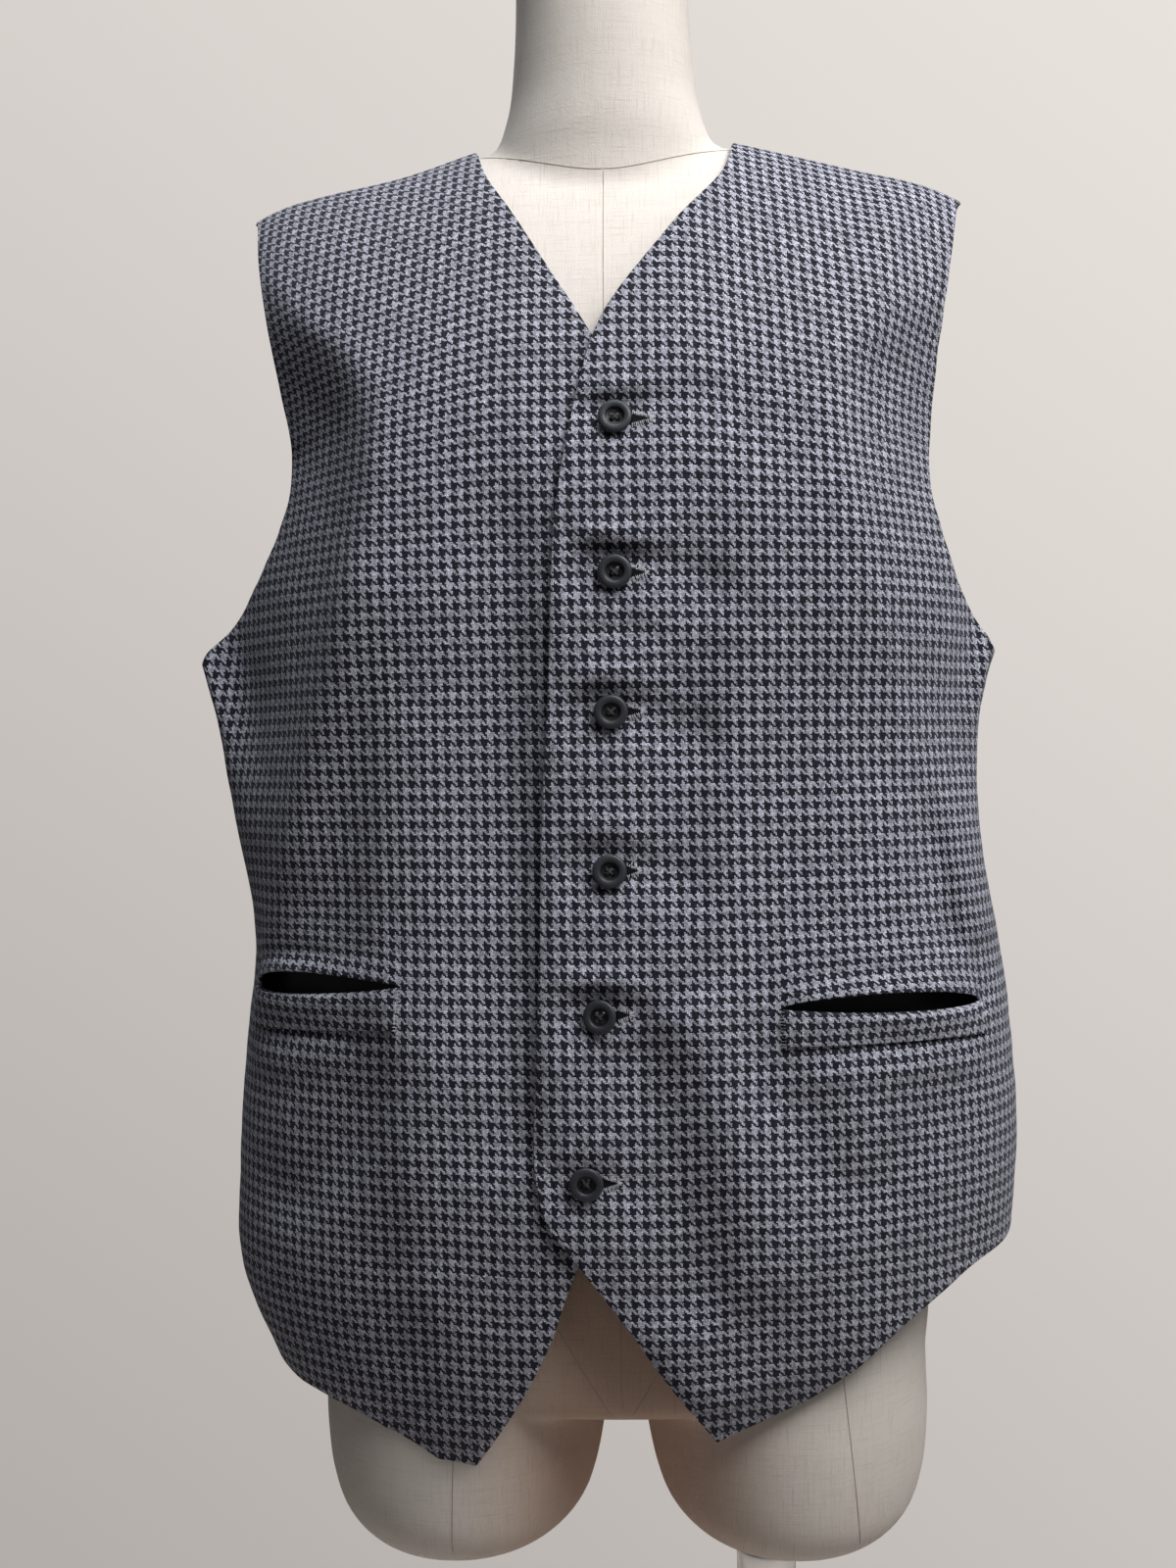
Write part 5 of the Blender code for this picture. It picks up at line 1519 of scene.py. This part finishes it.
    def add_tacks(self, wardrobe: Wardrobe) -> Piece:
        """The small stitches that hold both ends of the welt."""
        angle, level, push, _ = self.opened()
        dice = np.random.default_rng(7)
        t = np.linspace(0, 1, 5)
        stitches = []
        for end, way in ((self.before, -1), (self.before + self.along, 1)):
            for row in range(self.mouth_row - self.welt_rows, self.mouth_row):
                pick = row * self.columns + end
                reach = dice.uniform(*self.tack_reach) * t - self.tack_back
                turned = angle[pick] + reach * (angle[pick + way] - angle[pick])
                out = push[pick] + self.tack_lift + (self.laid_on + self.welt_wall) * (1 - t) ** 2
                stitches.append(self.points(turned, level[pick] + self.tack_sway * dice.normal() * t, out))
        piece = add_tubes(f"welt_tacks_{self.word}", stitches, self.tack_radius, wardrobe.grey_thread)
        return present(piece, "wool")

    def add_pouch(self, wardrobe: Wardrobe) -> Piece:
        """The pocket's lining, a shallow tray behind the mouth whose rim meets the back of the wool."""
        first, last = self.before - FINE, self.before + self.along + FINE
        low, high = self.mouth_row - 5 * FINE, self.mouth_row + FINE
        angle = self.angle[low : high + 1, first : last + 1]
        level = self.level[low : high + 1, first : last + 1]
        width, height = np.arange(last - first + 1) / FINE, np.arange(high - low + 1) / FINE
        across = np.minimum(width, width[::-1])
        up = np.minimum(height, 3 * height[::-1])
        hollow = np.minimum(across / 2, 1)[None, :] * np.minimum(up / 2, 1)[:, None]
        depth = (self.wall + self.laid_on + self.pouch_depth * np.sqrt(hollow)).ravel()
        outer = self.points(angle.ravel(), level.ravel(), -depth)
        inner = self.points(angle.ravel(), level.ravel(), -depth - self.pouch_wall)
        faces = grid_faces(high - low + 1, last - first + 1, flip=self.sign < 0)
        chart = self.chart.lengths(angle, level)
        finishes = (wardrobe.lining,) * 3
        piece = add_wall(f"pocket_lining_{self.word}", outer, inner, faces, chart, finishes, self.pouch_rim)
        present(piece, "pocket_lining", f"pocket_{self.word}")
        return self.hang(piece, chart, faces, f"wool_front_{self.word}")


@dataclass
class BackPanel:
    """The satin back in one piece, from side seam to side seam and up to the shoulder seams."""

    left: FrontPanel
    right: FrontPanel
    wall: float = 0.0014
    neckline: float = 1.385
    half_columns: int = 11 * FINE
    neck_columns: int = 5 * FINE
    rim: float = 0.0006

    def half(self, panel: FrontPanel) -> tuple[Array, Array]:
        """Angles and levels of the half that meets a front, from the centre line outwards."""
        surface, sign, side_level = panel.surface, panel.sign, panel.side_levels
        share = (side_level - side_level[0]) / (side_level[-1] - side_level[0])
        low, high = surface.level_of(HEM_AT_CENTRE_BACK), surface.level_of(self.neckline)
        middle = low + (high - low) * share
        tip = sign * (180 - abs(surface.ridge_angle(surface.tip_half)))
        outline = side_outline(surface, panel.side, BACK_ARMHOLE, tip, side_level, sign * panel.seam_half)
        reach = 180 - np.abs(outline)
        across = np.linspace(0, 1, self.half_columns + 1)
        neck_angle = abs(surface.ridge_angle(surface.neck_half))
        stops = [0, neck_angle / reach[-1], 1]
        count = np.arange(len(across))
        at_top = np.interp(count, [0, self.neck_columns, self.half_columns], stops)
        bend = share[:, None] ** 4
        angle = sign * (180 - reach[:, None] * (across * (1 - bend) + at_top * bend))
        level = middle[:, None] + (side_level - middle)[:, None] * across**2
        curve = np.clip(count / self.neck_columns, 0, 1) ** 2.2
        level += (high + (surface.top - high) * curve - level[-1]) * share[:, None] ** 3
        return angle, level

    def add_back(self, wardrobe: Wardrobe) -> Piece:
        """The back."""
        surface = self.left.surface
        left_angle, left_level = self.half(self.left)
        right_angle, right_level = self.half(self.right)
        angle = np.concatenate([left_angle[:, ::-1], 360 + right_angle[:, 1:]], axis=1)
        level = np.concatenate([left_level[:, ::-1], right_level[:, 1:]], axis=1)
        rows, columns = angle.shape
        turned = np.where(angle > 180, angle - 360, angle).ravel()
        level = np.minimum(level.ravel(), surface.top)
        base, normal = surface.point(turned, level), surface.normal(turned, level)
        gap = np.where(level > surface.top - 1e-6, self.left.seam_half, 0)
        outer, inner = base.copy(), base - self.wall * normal
        outer[:, 1] += gap
        inner[:, 1] += gap
        chart = self.left.chart.lengths(turned, level)
        chart[:, 0] = np.where(turned > 0, chart[:, 0], chart[:, 0] + self.girth(level))
        faces = grid_faces(rows, columns)
        finishes = (wardrobe.satin, wardrobe.lining, wardrobe.satin)
        piece = add_wall("satin_back", outer, inner, faces, chart, finishes, self.rim)
        present(piece, "satin", "back")
        return self.left.hang(piece, chart, faces, "dress_form")

    def girth(self, level: Array) -> Array:
        """The length once round the body at each level."""
        chart = self.left.chart
        total = chart.across[:, -1] - chart.across[:, 0]
        return np.interp(level, chart.levels, total)


@dataclass
class Fastenings:
    """The six buttons, the crossed threads that hold them and the worked buttonholes."""

    panel: FrontPanel
    closings: tuple[Closing, ...] = CLOSINGS
    radius: float = 0.0085
    height: float = 0.0034
    rim: float = 0.0042
    dish: float = 0.0018
    hole: float = 0.00120
    hole_offset: float = 0.0022
    sides: int = 72
    seat_lift: float = 0.0012
    slit_start: float = 0.0076
    slit_half: float = 0.0022
    fan: float = 0.0030
    stitch: float = 0.00050
    bite: float = 0.0028
    worked_radius: float = 0.00029
    slit_radius: float = 0.00038
    thread_radius: float = 0.00026
    strand_gap: float = 0.00034
    strand_sway: float = 0.00005
    strand_sunk: float = 0.0006
    strand_bow: float = 0.00085
    cross_step: float = 0.0002
    cross_reach: float = 1.04

    def profile(self) -> list[tuple[float, float]]:
        """Radius and height of the button's section, from the middle of its back over the rim to its dish."""
        floor = self.height - self.dish
        crest = self.radius - 0.5 * self.rim
        rounded = [
            (crest + 0.5 * self.rim * math.cos(turn), 0.5 * self.height * (1 + math.sin(turn) ** 0.7))
            for turn in np.linspace(0.05, math.pi * 0.78, 14)
        ]
        lip = rounded[-1][0]
        return [
            (0.45 * self.radius, 0.0),
            (0.60 * self.radius, 0.0),
            (0.86 * self.radius, 0.18 * self.height),
            (0.97 * self.radius, 0.36 * self.height),
            *rounded,
            (lip - 0.00020, floor + 0.45 * self.dish),
            (lip - 0.00035, floor + 0.00012),
            (lip - 0.00060, floor),
            (0.20 * self.radius, floor - 0.0001),
        ]

    def button_mesh(self, finish: Material) -> Mesh:
        """A round four-hole button with a raised rim; it lies on z = 0 and faces +Z."""
        blank = lathe("button_blank", self.profile(), self.sides, finish)
        used = [blank]
        for k in range(4):
            turn = math.radians(45 + 90 * k)
            hole = lathe("button_hole", ((self.hole, -0.001), (self.hole, 0.006)), 20, finish)
            hole.location = (self.hole_offset * math.cos(turn), self.hole_offset * math.sin(turn), 0)
            cut = blank.modifiers.new("hole", "BOOLEAN")
            cut.object = hole
            used.append(hole)
        mesh = applied(blank)
        for item in used:
            bpy.data.objects.remove(item)
        mesh.shade_smooth()
        mesh.set_sharp_from_angle(angle=math.radians(40))
        return mesh

    def seats(self) -> list[tuple[Vector, Quaternion]]:
        """Place and turn of each button."""
        found = []
        surface = self.panel.surface
        for closing in self.closings:
            angle, level = (np.atleast_1d(item) for item in surface.find(closing.x, closing.z))
            facing = Vector(surface.normal(angle, level)[0])
            spread = 0.5 * self.radius * abs(math.sin(math.radians(closing.tip)))
            seat = self.panel.points(angle, level, np.array([self.seat_lift]))[0]
            turn = facing.to_track_quat("Z", "Y") @ Quaternion((0, 1, 0), math.radians(closing.tip))
            found.append((Vector(seat) + facing * spread, turn))
        return found

    def add_buttons(self, wardrobe: Wardrobe) -> None:
        """The buttons and their threads."""
        mesh = self.button_mesh(wardrobe.horn)
        crosses: list[Array] = []
        for number, (seat, turn) in enumerate(self.seats(), start=1):
            piece = link(f"horn_button_{number}", mesh)
            piece.location = seat
            piece.rotation_mode = "QUATERNION"
            piece.rotation_quaternion = turn
            present(piece, "button", f"button_{number}")
            crosses += [self.placed(line, seat, turn) for line in self.cross_lines(number)]
        present(add_tubes("button_threads", crosses, self.thread_radius, wardrobe.dark_thread), "button")

    def cross_lines(self, number: int) -> list[Array]:
        """Threads from hole to opposite hole of a button that lies on z = 0."""
        dice = np.random.default_rng(number)
        top = self.height - self.dish
        lines = []
        for k in range(2):
            turn = math.radians(45 + 90 * k)
            way = np.array([math.cos(turn), math.sin(turn), 0.0])
            aside = np.array([-way[1], way[0], 0.0])
            for strand in (-0.9, 0.0, 0.9):
                t = np.linspace(-1, 1, 11)[:, None]
                bow = np.clip(1 - np.abs(t) ** 5, 0, 1)
                shift = aside * (strand * self.strand_gap + dice.normal() * self.strand_sway)
                lift = self.strand_bow + self.cross_step * k
                rise = [0, 0, 1.0] * (top - self.strand_sunk + lift * bow)
                lines.append(way * t * self.hole_offset * self.cross_reach + shift + rise)
        return lines

    def placed(self, line: Array, seat: Vector, turn: Quaternion) -> Array:
        """A line moved from a button's own frame to where it sits."""
        return np.array([seat + turn @ Vector(point) for point in line])

    def on_cloth(self, x: Array, z: Array, out: Array) -> Array:
        """Points that far above the closed front, as seen from the front at x and z."""
        angle, level = self.panel.surface.find(x, z)
        return self.panel.points(angle, level, out)

    def add_buttonholes(self, wardrobe: Wardrobe) -> None:
        """Slits, drawn as a wedge of near-black strands of painted shade, with a row of uneven worked
        stitches along both lips and round the end.
        """
        stitches: list[Array] = []
        slits: list[Array] = []
        for number, closing in enumerate(self.closings):
            dice = np.random.default_rng(40 + number)
            start, end = closing.x + self.slit_start, closing.hole_end - self.fan
            sag = 0.0004 * dice.normal()
            count = max(int((end - start) / (1.75 * self.stitch)), 4)
            t = np.linspace(0, 1, 6)
            for lip in (-1, 1):
                for x in np.linspace(start + 0.001, end, count):
                    reach = self.bite * dice.uniform(0.5, 1.2)
                    foot = self.slit_half * (end - x) / (end - start)
                    line_x = x + (0.0006 + 0.0006 * dice.normal()) * t
                    line_z = closing.z + sag + lip * (0.0002 + foot + reach * t)
                    arch = 0.0003 + 0.00045 * np.sin(np.pi * (0.15 + 0.85 * t)) - 0.0004 * t
                    stitches.append(self.on_cloth(line_x, line_z, arch))
            for turn in np.linspace(-80, 80, 9):
                turn = math.radians(turn + 8 * dice.normal())
                reach = 0.0003 + self.fan * dice.uniform(0.55, 1.0) * t
                bend = 0.0006 * dice.normal() * t**2
                line_x = end + math.cos(turn) * reach - math.sin(turn) * bend
                line_z = closing.z + sag + 0.8 * (math.sin(turn) * reach + math.cos(turn) * bend)
                stitches.append(self.on_cloth(line_x, line_z, 0.0007 - 0.0006 * t))
            # A wedge of near-black strands along each slit paints the shade in its opening.
            t = np.linspace(0, 1, 12)
            for spread in np.linspace(-1, 1, 9):
                line_z = closing.z + sag + self.slit_half * spread * (1 - t)
                slits.append(self.on_cloth(start + (end - start) * t, line_z, 0.0001 + 0 * t))
        worked = add_tubes("buttonhole_stitches", stitches, self.worked_radius, wardrobe.grey_thread)
        present(worked, "wool")
        present(add_tubes("buttonhole_slits", slits, self.slit_radius, wardrobe.painted_slit_shade), "wool")


# ---------------------------------------------------------------- dress form, stand and studio


@dataclass
class DressForm:
    """The linen-covered form: a torso, a neck and two short thighs in one skin with sewn seams."""

    surface: BodySurface = field(default_factory=lambda: BodySurface(FORM_LEVELS, closed=True))
    thigh_x: float = 0.0915
    sides: int = 96
    voxel: float = 0.0042
    rod_x: float = 0.078
    rod_radius: float = 0.0125
    rod_gap: float = 0.0003
    socket: float = 0.070
    seam_radius: float = 0.00030
    neck_stitches: int = 161
    neck_seam: float = 1.396
    neck_dip: float = 0.0205
    nape_dip: float = 0.006
    outside: float = 0.3

    def torso_rings(self) -> list[Array]:
        """Sections of the torso from the bottom up to the ridge."""
        angle = np.linspace(-180, 180, self.sides, endpoint=False)
        return [
            self.surface.smooth_point(angle, np.full(self.sides, level))
            for level in np.linspace(0, self.surface.top, 90)
        ]

    def limb_rings(self, rings: Sequence[Ring], x: float) -> list[Array]:
        """Ovals smoothly through a table of rings."""
        turn = np.linspace(0, 2 * math.pi, self.sides, endpoint=False)
        outwards = np.cos(turn) * (1 if x >= 0 else -1) >= 0
        made = []
        for at in np.linspace(0, len(rings) - 1, 6 * len(rings)):
            z, y, outward, inward, half_y = (
                float(read_rows(column(rings, name), at))
                for name in ("z", "y", "outward", "inward", "half_y")
            )
            half_x = np.where(outwards, outward, inward)
            oval = [x + half_x * np.cos(turn), y + half_y * np.sin(turn), np.full(self.sides, z)]
            made.append(np.column_stack(oval))
        return made

    def skin(self, finish: Material) -> Mesh:
        """One smooth closed skin over all the limbs."""
        points: list[Array] = []
        faces: list[Face] = []
        limbs = [self.torso_rings(), self.limb_rings(NECK_RINGS, 0.0)]
        limbs += [self.limb_rings(THIGH_RINGS, x) for x in (self.thigh_x, -self.thigh_x)]
        for rings in limbs:
            start = self.sides * len(points)
            points += rings
            faces += [tuple(start + i for i in face) for face in loft_faces(len(rings), self.sides)]
        blank = link("form_blank", new_mesh("form_blank", np.concatenate(points), faces))
        shrink = blank.modifiers.new("one_skin", "REMESH")
        shrink.mode = "VOXEL"
        shrink.voxel_size = self.voxel
        soften = blank.modifiers.new("soften", "SMOOTH")
        soften.factor = 0.5
        soften.iterations = 8
        radius, top = self.rod_radius + self.rod_gap, THIGH_RINGS[0].z + self.socket
        socket = lathe("socket", ((radius, 0.60), (radius, top)), 48, finish)
        socket.location = (self.rod_x, 0, 0)
        cut = blank.modifiers.new("socket", "BOOLEAN")
        cut.object = socket
        mesh = applied(blank)
        for item in (blank, socket):
            bpy.data.objects.remove(item)
        mesh.materials.clear()
        mesh.materials.append(finish)
        mesh.shade_smooth()
        mesh.set_sharp_from_angle(angle=math.radians(60))
        return mesh

    def seam_lines(self, mesh: Mesh) -> list[Array]:
        """The centre seams, the neck seam and the thigh seams, laid on the skin."""
        tree = BVHTree.FromPolygons([v.co for v in mesh.vertices], [p.vertices for p in mesh.polygons])
        lines = []
        for way in (1.0, -1.0):
            for seam in SEAMS:
                if way < 0 and not seam.behind:
                    continue
                across = np.linspace(seam.x, seam.end_x, seam.stitches)
                up = np.linspace(seam.z, seam.end_z, seam.stitches)
                rays = ((Vector((x, -way, z)), Vector((0, way, 0))) for x, z in zip(across, up))
                lines.append(self.hits(tree, rays))
        rays = []
        for turn in np.linspace(0, 2 * math.pi, self.neck_stitches):
            way = Vector((math.sin(turn), -math.cos(turn), 0))
            ahead, behind = max(math.cos(turn), 0), min(math.cos(turn), 0)
            height = self.neck_seam - self.neck_dip * ahead + self.nape_dip * behind
            rays.append((Vector((0, 0, height)) + way * self.outside, -way))
        lines.append(self.hits(tree, rays))
        return lines

    def hits(self, tree: BVHTree, rays: Iterable[tuple[Vector, Vector]]) -> Array:
        """Where rays, each a start and a direction, first meet the skin."""
        found = (tree.ray_cast(*ray)[0] for ray in rays)
        return np.array([hit for hit in found if hit is not None])

    def add_form(self, wardrobe: Wardrobe) -> Piece:
        """The form and its seams."""
        mesh = self.skin(wardrobe.linen)
        mesh.name = "linen_form"
        piece = present(link("linen_form", mesh), "linen", "dress_form")
        seams = add_tubes("form_seams", self.seam_lines(mesh), self.seam_radius, wardrobe.seam_thread)
        present(seams, "linen")
        return piece


@dataclass
class Stand:
    """A chromed rod with a collar under the thigh, on a round steel plate."""

    x: float = 0.078
    radius: float = 0.0125
    collar: float = 0.0165
    collar_height: float = 0.030
    socket: float = 0.070
    plate_radius: float = 0.180
    plate_height: float = 0.007
    gap: float = 0.0003

    def add_rod(self, wardrobe: Wardrobe) -> Piece:
        """The rod, with its foot on the plate and its collar under the thigh."""
        thigh, foot = THIGH_RINGS[0].z, self.plate_height + self.gap
        low, high = thigh - self.gap - self.collar_height, thigh - self.gap
        bend = 0.0012
        profile = (
            (0.0290, foot),
            (0.0300, foot + 0.001),
            (0.0300, foot + 0.0035),
            (0.0285, foot + 0.006),
            (0.0210, foot + 0.0105),
            (0.0150, foot + 0.0130),
            (self.radius, foot + 0.0165),
            (self.radius, low - 0.0005),
            (self.collar - bend, low),
            (self.collar, low + bend),
            (self.collar, high - bend),
            (self.collar - bend, high),
            (self.radius, high),
            (self.radius, thigh + self.socket - 0.002),
            (self.radius - 0.002, thigh + self.socket),
        )
        piece = lathe("chrome_rod", profile, 64, wardrobe.chrome)
        piece.location = (self.x, 0, 0)
        return present(piece, "chrome", "stand_rod")

    def add_plate(self, wardrobe: Wardrobe) -> Piece:
        """The round plate with a softened rim."""
        radius, height = self.plate_radius, self.plate_height
        profile = (
            (0.6 * radius, 0.0),
            (radius - 0.0012, 0.0),
            (radius, 0.0010),
            (radius, height - 0.0032),
            (radius - 0.0008, height - 0.0012),
            (radius - 0.0028, height - 0.0002),
            (radius - 0.0045, height),
            (0.5 * radius, height),
        )
        return present(lathe("round_plate", profile, 128, wardrobe.steel), "steel", "stand_base")


@dataclass
class Studio:
    """A pale floor, soft lamps, a pale background and the camera."""

    focal_pixels: float = 1708.0
    frame_height: float = 1600.0
    sensor: float = 36.0
    distance: float = 0.945
    eye: float = 1.06
    shift: float = 0.0155
    yaw: float = 2.3
    pitch: float = 1.0
    roll: float = 1.0
    floor_radius: float = 1.2
    floor_depth: float = 0.012
    aim: Triple = (0, -0.1, 1.15)
    world: float = 0.07
    pale: Triple = (1.0, 0.94, 0.895)
    glow: float = 0.64
    glow_rise: Triple = (0.22, 0.0, 0.29)

    def add_floor(self, wardrobe: Wardrobe) -> Piece:
        """A round pale floor."""
        reach, depth = self.floor_radius, self.floor_depth
        rim = reach - depth
        profile = ((0.3, -depth), (rim, -depth), (reach, -depth / 2), (rim, 0.0), (0.3, 0.0))
        piece = lathe("floor", profile, 160, wardrobe.paint)
        log.info("%s: studio", piece.name)
        return piece

    def add_lamps(self) -> None:
        """A soft key from the upper right, a lower one beside it, one overhead and one behind."""
        for lamp in LAMPS:
            light = bpy.data.lights.new(lamp.name, "AREA")
            light.size = lamp.size
            light.energy = lamp.power
            light.color = lamp.colour
            place = Vector(lamp.place)
            made = link(lamp.name, light)
            made.location = place
            made.rotation_euler = (Vector(self.aim) - place).to_track_quat("-Z", "Y").to_euler()

    def add_surround(self) -> None:
        """Faint light from all round, in front of a plain pale background that only the camera sees, with
        painted light and shade that make it brighter towards the upper right and darker to the left and
        below.
        """
        world = bpy.data.worlds.new("surround")
        world.use_nodes = True
        tree = world.node_tree
        faint, output = tree.nodes["Background"], tree.nodes["World Output"]
        faint.inputs["Color"].default_value = (0.97, 0.98, 1.0, 1.0)
        faint.inputs["Strength"].default_value = self.world
        # Painted light and shade: the background's strength rises towards the top and the right, for camera
        # rays only.
        place, path = tree.nodes.new("ShaderNodeTexCoord"), tree.nodes.new("ShaderNodeLightPath")
        rise, glow = tree.nodes.new("ShaderNodeVectorMath"), tree.nodes.new("ShaderNodeMath")
        rise.operation = "DOT_PRODUCT"
        rise.inputs[1].default_value = self.glow_rise
        glow.inputs[1].default_value = self.glow
        pale, mix = tree.nodes.new("ShaderNodeBackground"), tree.nodes.new("ShaderNodeMixShader")
        pale.inputs["Color"].default_value = (*self.pale, 1.0)
        for source, target in (
            (place.outputs["Generated"], rise.inputs[0]),
            (rise.outputs["Value"], glow.inputs[0]),
            (glow.outputs[0], pale.inputs["Strength"]),
            (path.outputs["Is Camera Ray"], mix.inputs[0]),
            (faint.outputs[0], mix.inputs[1]),
            (pale.outputs[0], mix.inputs[2]),
            (mix.outputs[0], output.inputs["Surface"]),
        ):
            tree.links.new(source, target)
        bpy.context.scene.world = world

    def add_camera(self) -> None:
        """The camera in front, a little to the wearer's left, with its slight tilt."""
        yaw, pitch, roll = (math.radians(angle) for angle in (self.yaw, self.pitch, self.roll))
        ahead = Vector((-math.sin(yaw), math.cos(yaw), 0))
        right = Vector((math.cos(yaw), math.sin(yaw), 0))
        place = -self.distance * ahead - self.shift * right + Vector((0, 0, self.eye))
        forward = ahead * math.cos(pitch) - Vector((0, 0, math.sin(pitch)))
        up = Vector((0, 0, math.cos(pitch))) + ahead * math.sin(pitch)
        turned_right = right * math.cos(roll) - up * math.sin(roll)
        turned_up = up * math.cos(roll) + right * math.sin(roll)
        lens = bpy.data.cameras.new("camera")
        lens.lens = self.focal_pixels / self.frame_height * self.sensor
        lens.sensor_width = self.sensor
        lens.sensor_height = self.sensor
        made = link("camera", lens)
        turn = Matrix((turned_right, turned_up, -forward)).transposed()
        made.matrix_world = Matrix.Translation(place) @ turn.to_4x4()
        bpy.context.scene.camera = made

    def set_picture(self) -> None:
        """A plain rendering of colours, without a film look."""
        view = bpy.context.scene.view_settings
        view.view_transform = "Standard"
        view.look = "None"


def main() -> None:
    """Builds the pieces in order."""
    logging.basicConfig(level=logging.INFO, format="%(message)s")
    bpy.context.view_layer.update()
    wardrobe = Wardrobe()
    studio = Studio()
    studio.add_camera()
    surface = BodySurface(
        COAT_LEVELS,
        MAIN_FOLDS,
        SMALL_FOLDS,
        CREASES,
        (Ripples(height=0.00045, length=0.085), Ripples(height=0.00018, length=0.032, seed=9)),
    )
    chart = ClothChart(surface)
    right = FrontPanel(
        Wearer.RIGHT, surface, chart, RIGHT_EDGE, RIGHT_HEM, RIGHT_HEM_AT_SEAM, RIGHT_ROWS, RIGHT_MOUTH
    )
    left = FrontPanel(
        Wearer.LEFT, surface, chart, LEFT_EDGE, LEFT_HEM, LEFT_HEM_AT_SEAM, LEFT_ROWS, LEFT_MOUTH, 0.0042
    )
    form = DressForm()
    form.add_form(wardrobe)
    stand = Stand()
    stand.add_rod(wardrobe)
    stand.add_plate(wardrobe)
    for panel in (right, left):
        panel.add_front(wardrobe)
        panel.add_welt(wardrobe)
        panel.add_tacks(wardrobe)
        panel.add_pouch(wardrobe)
    BackPanel(left, right).add_back(wardrobe)
    fastenings = Fastenings(left)
    fastenings.add_buttons(wardrobe)
    fastenings.add_buttonholes(wardrobe)
    studio.add_floor(wardrobe)
    studio.add_lamps()
    studio.add_surround()
    studio.set_picture()


if __name__ == "__main__":
    main()
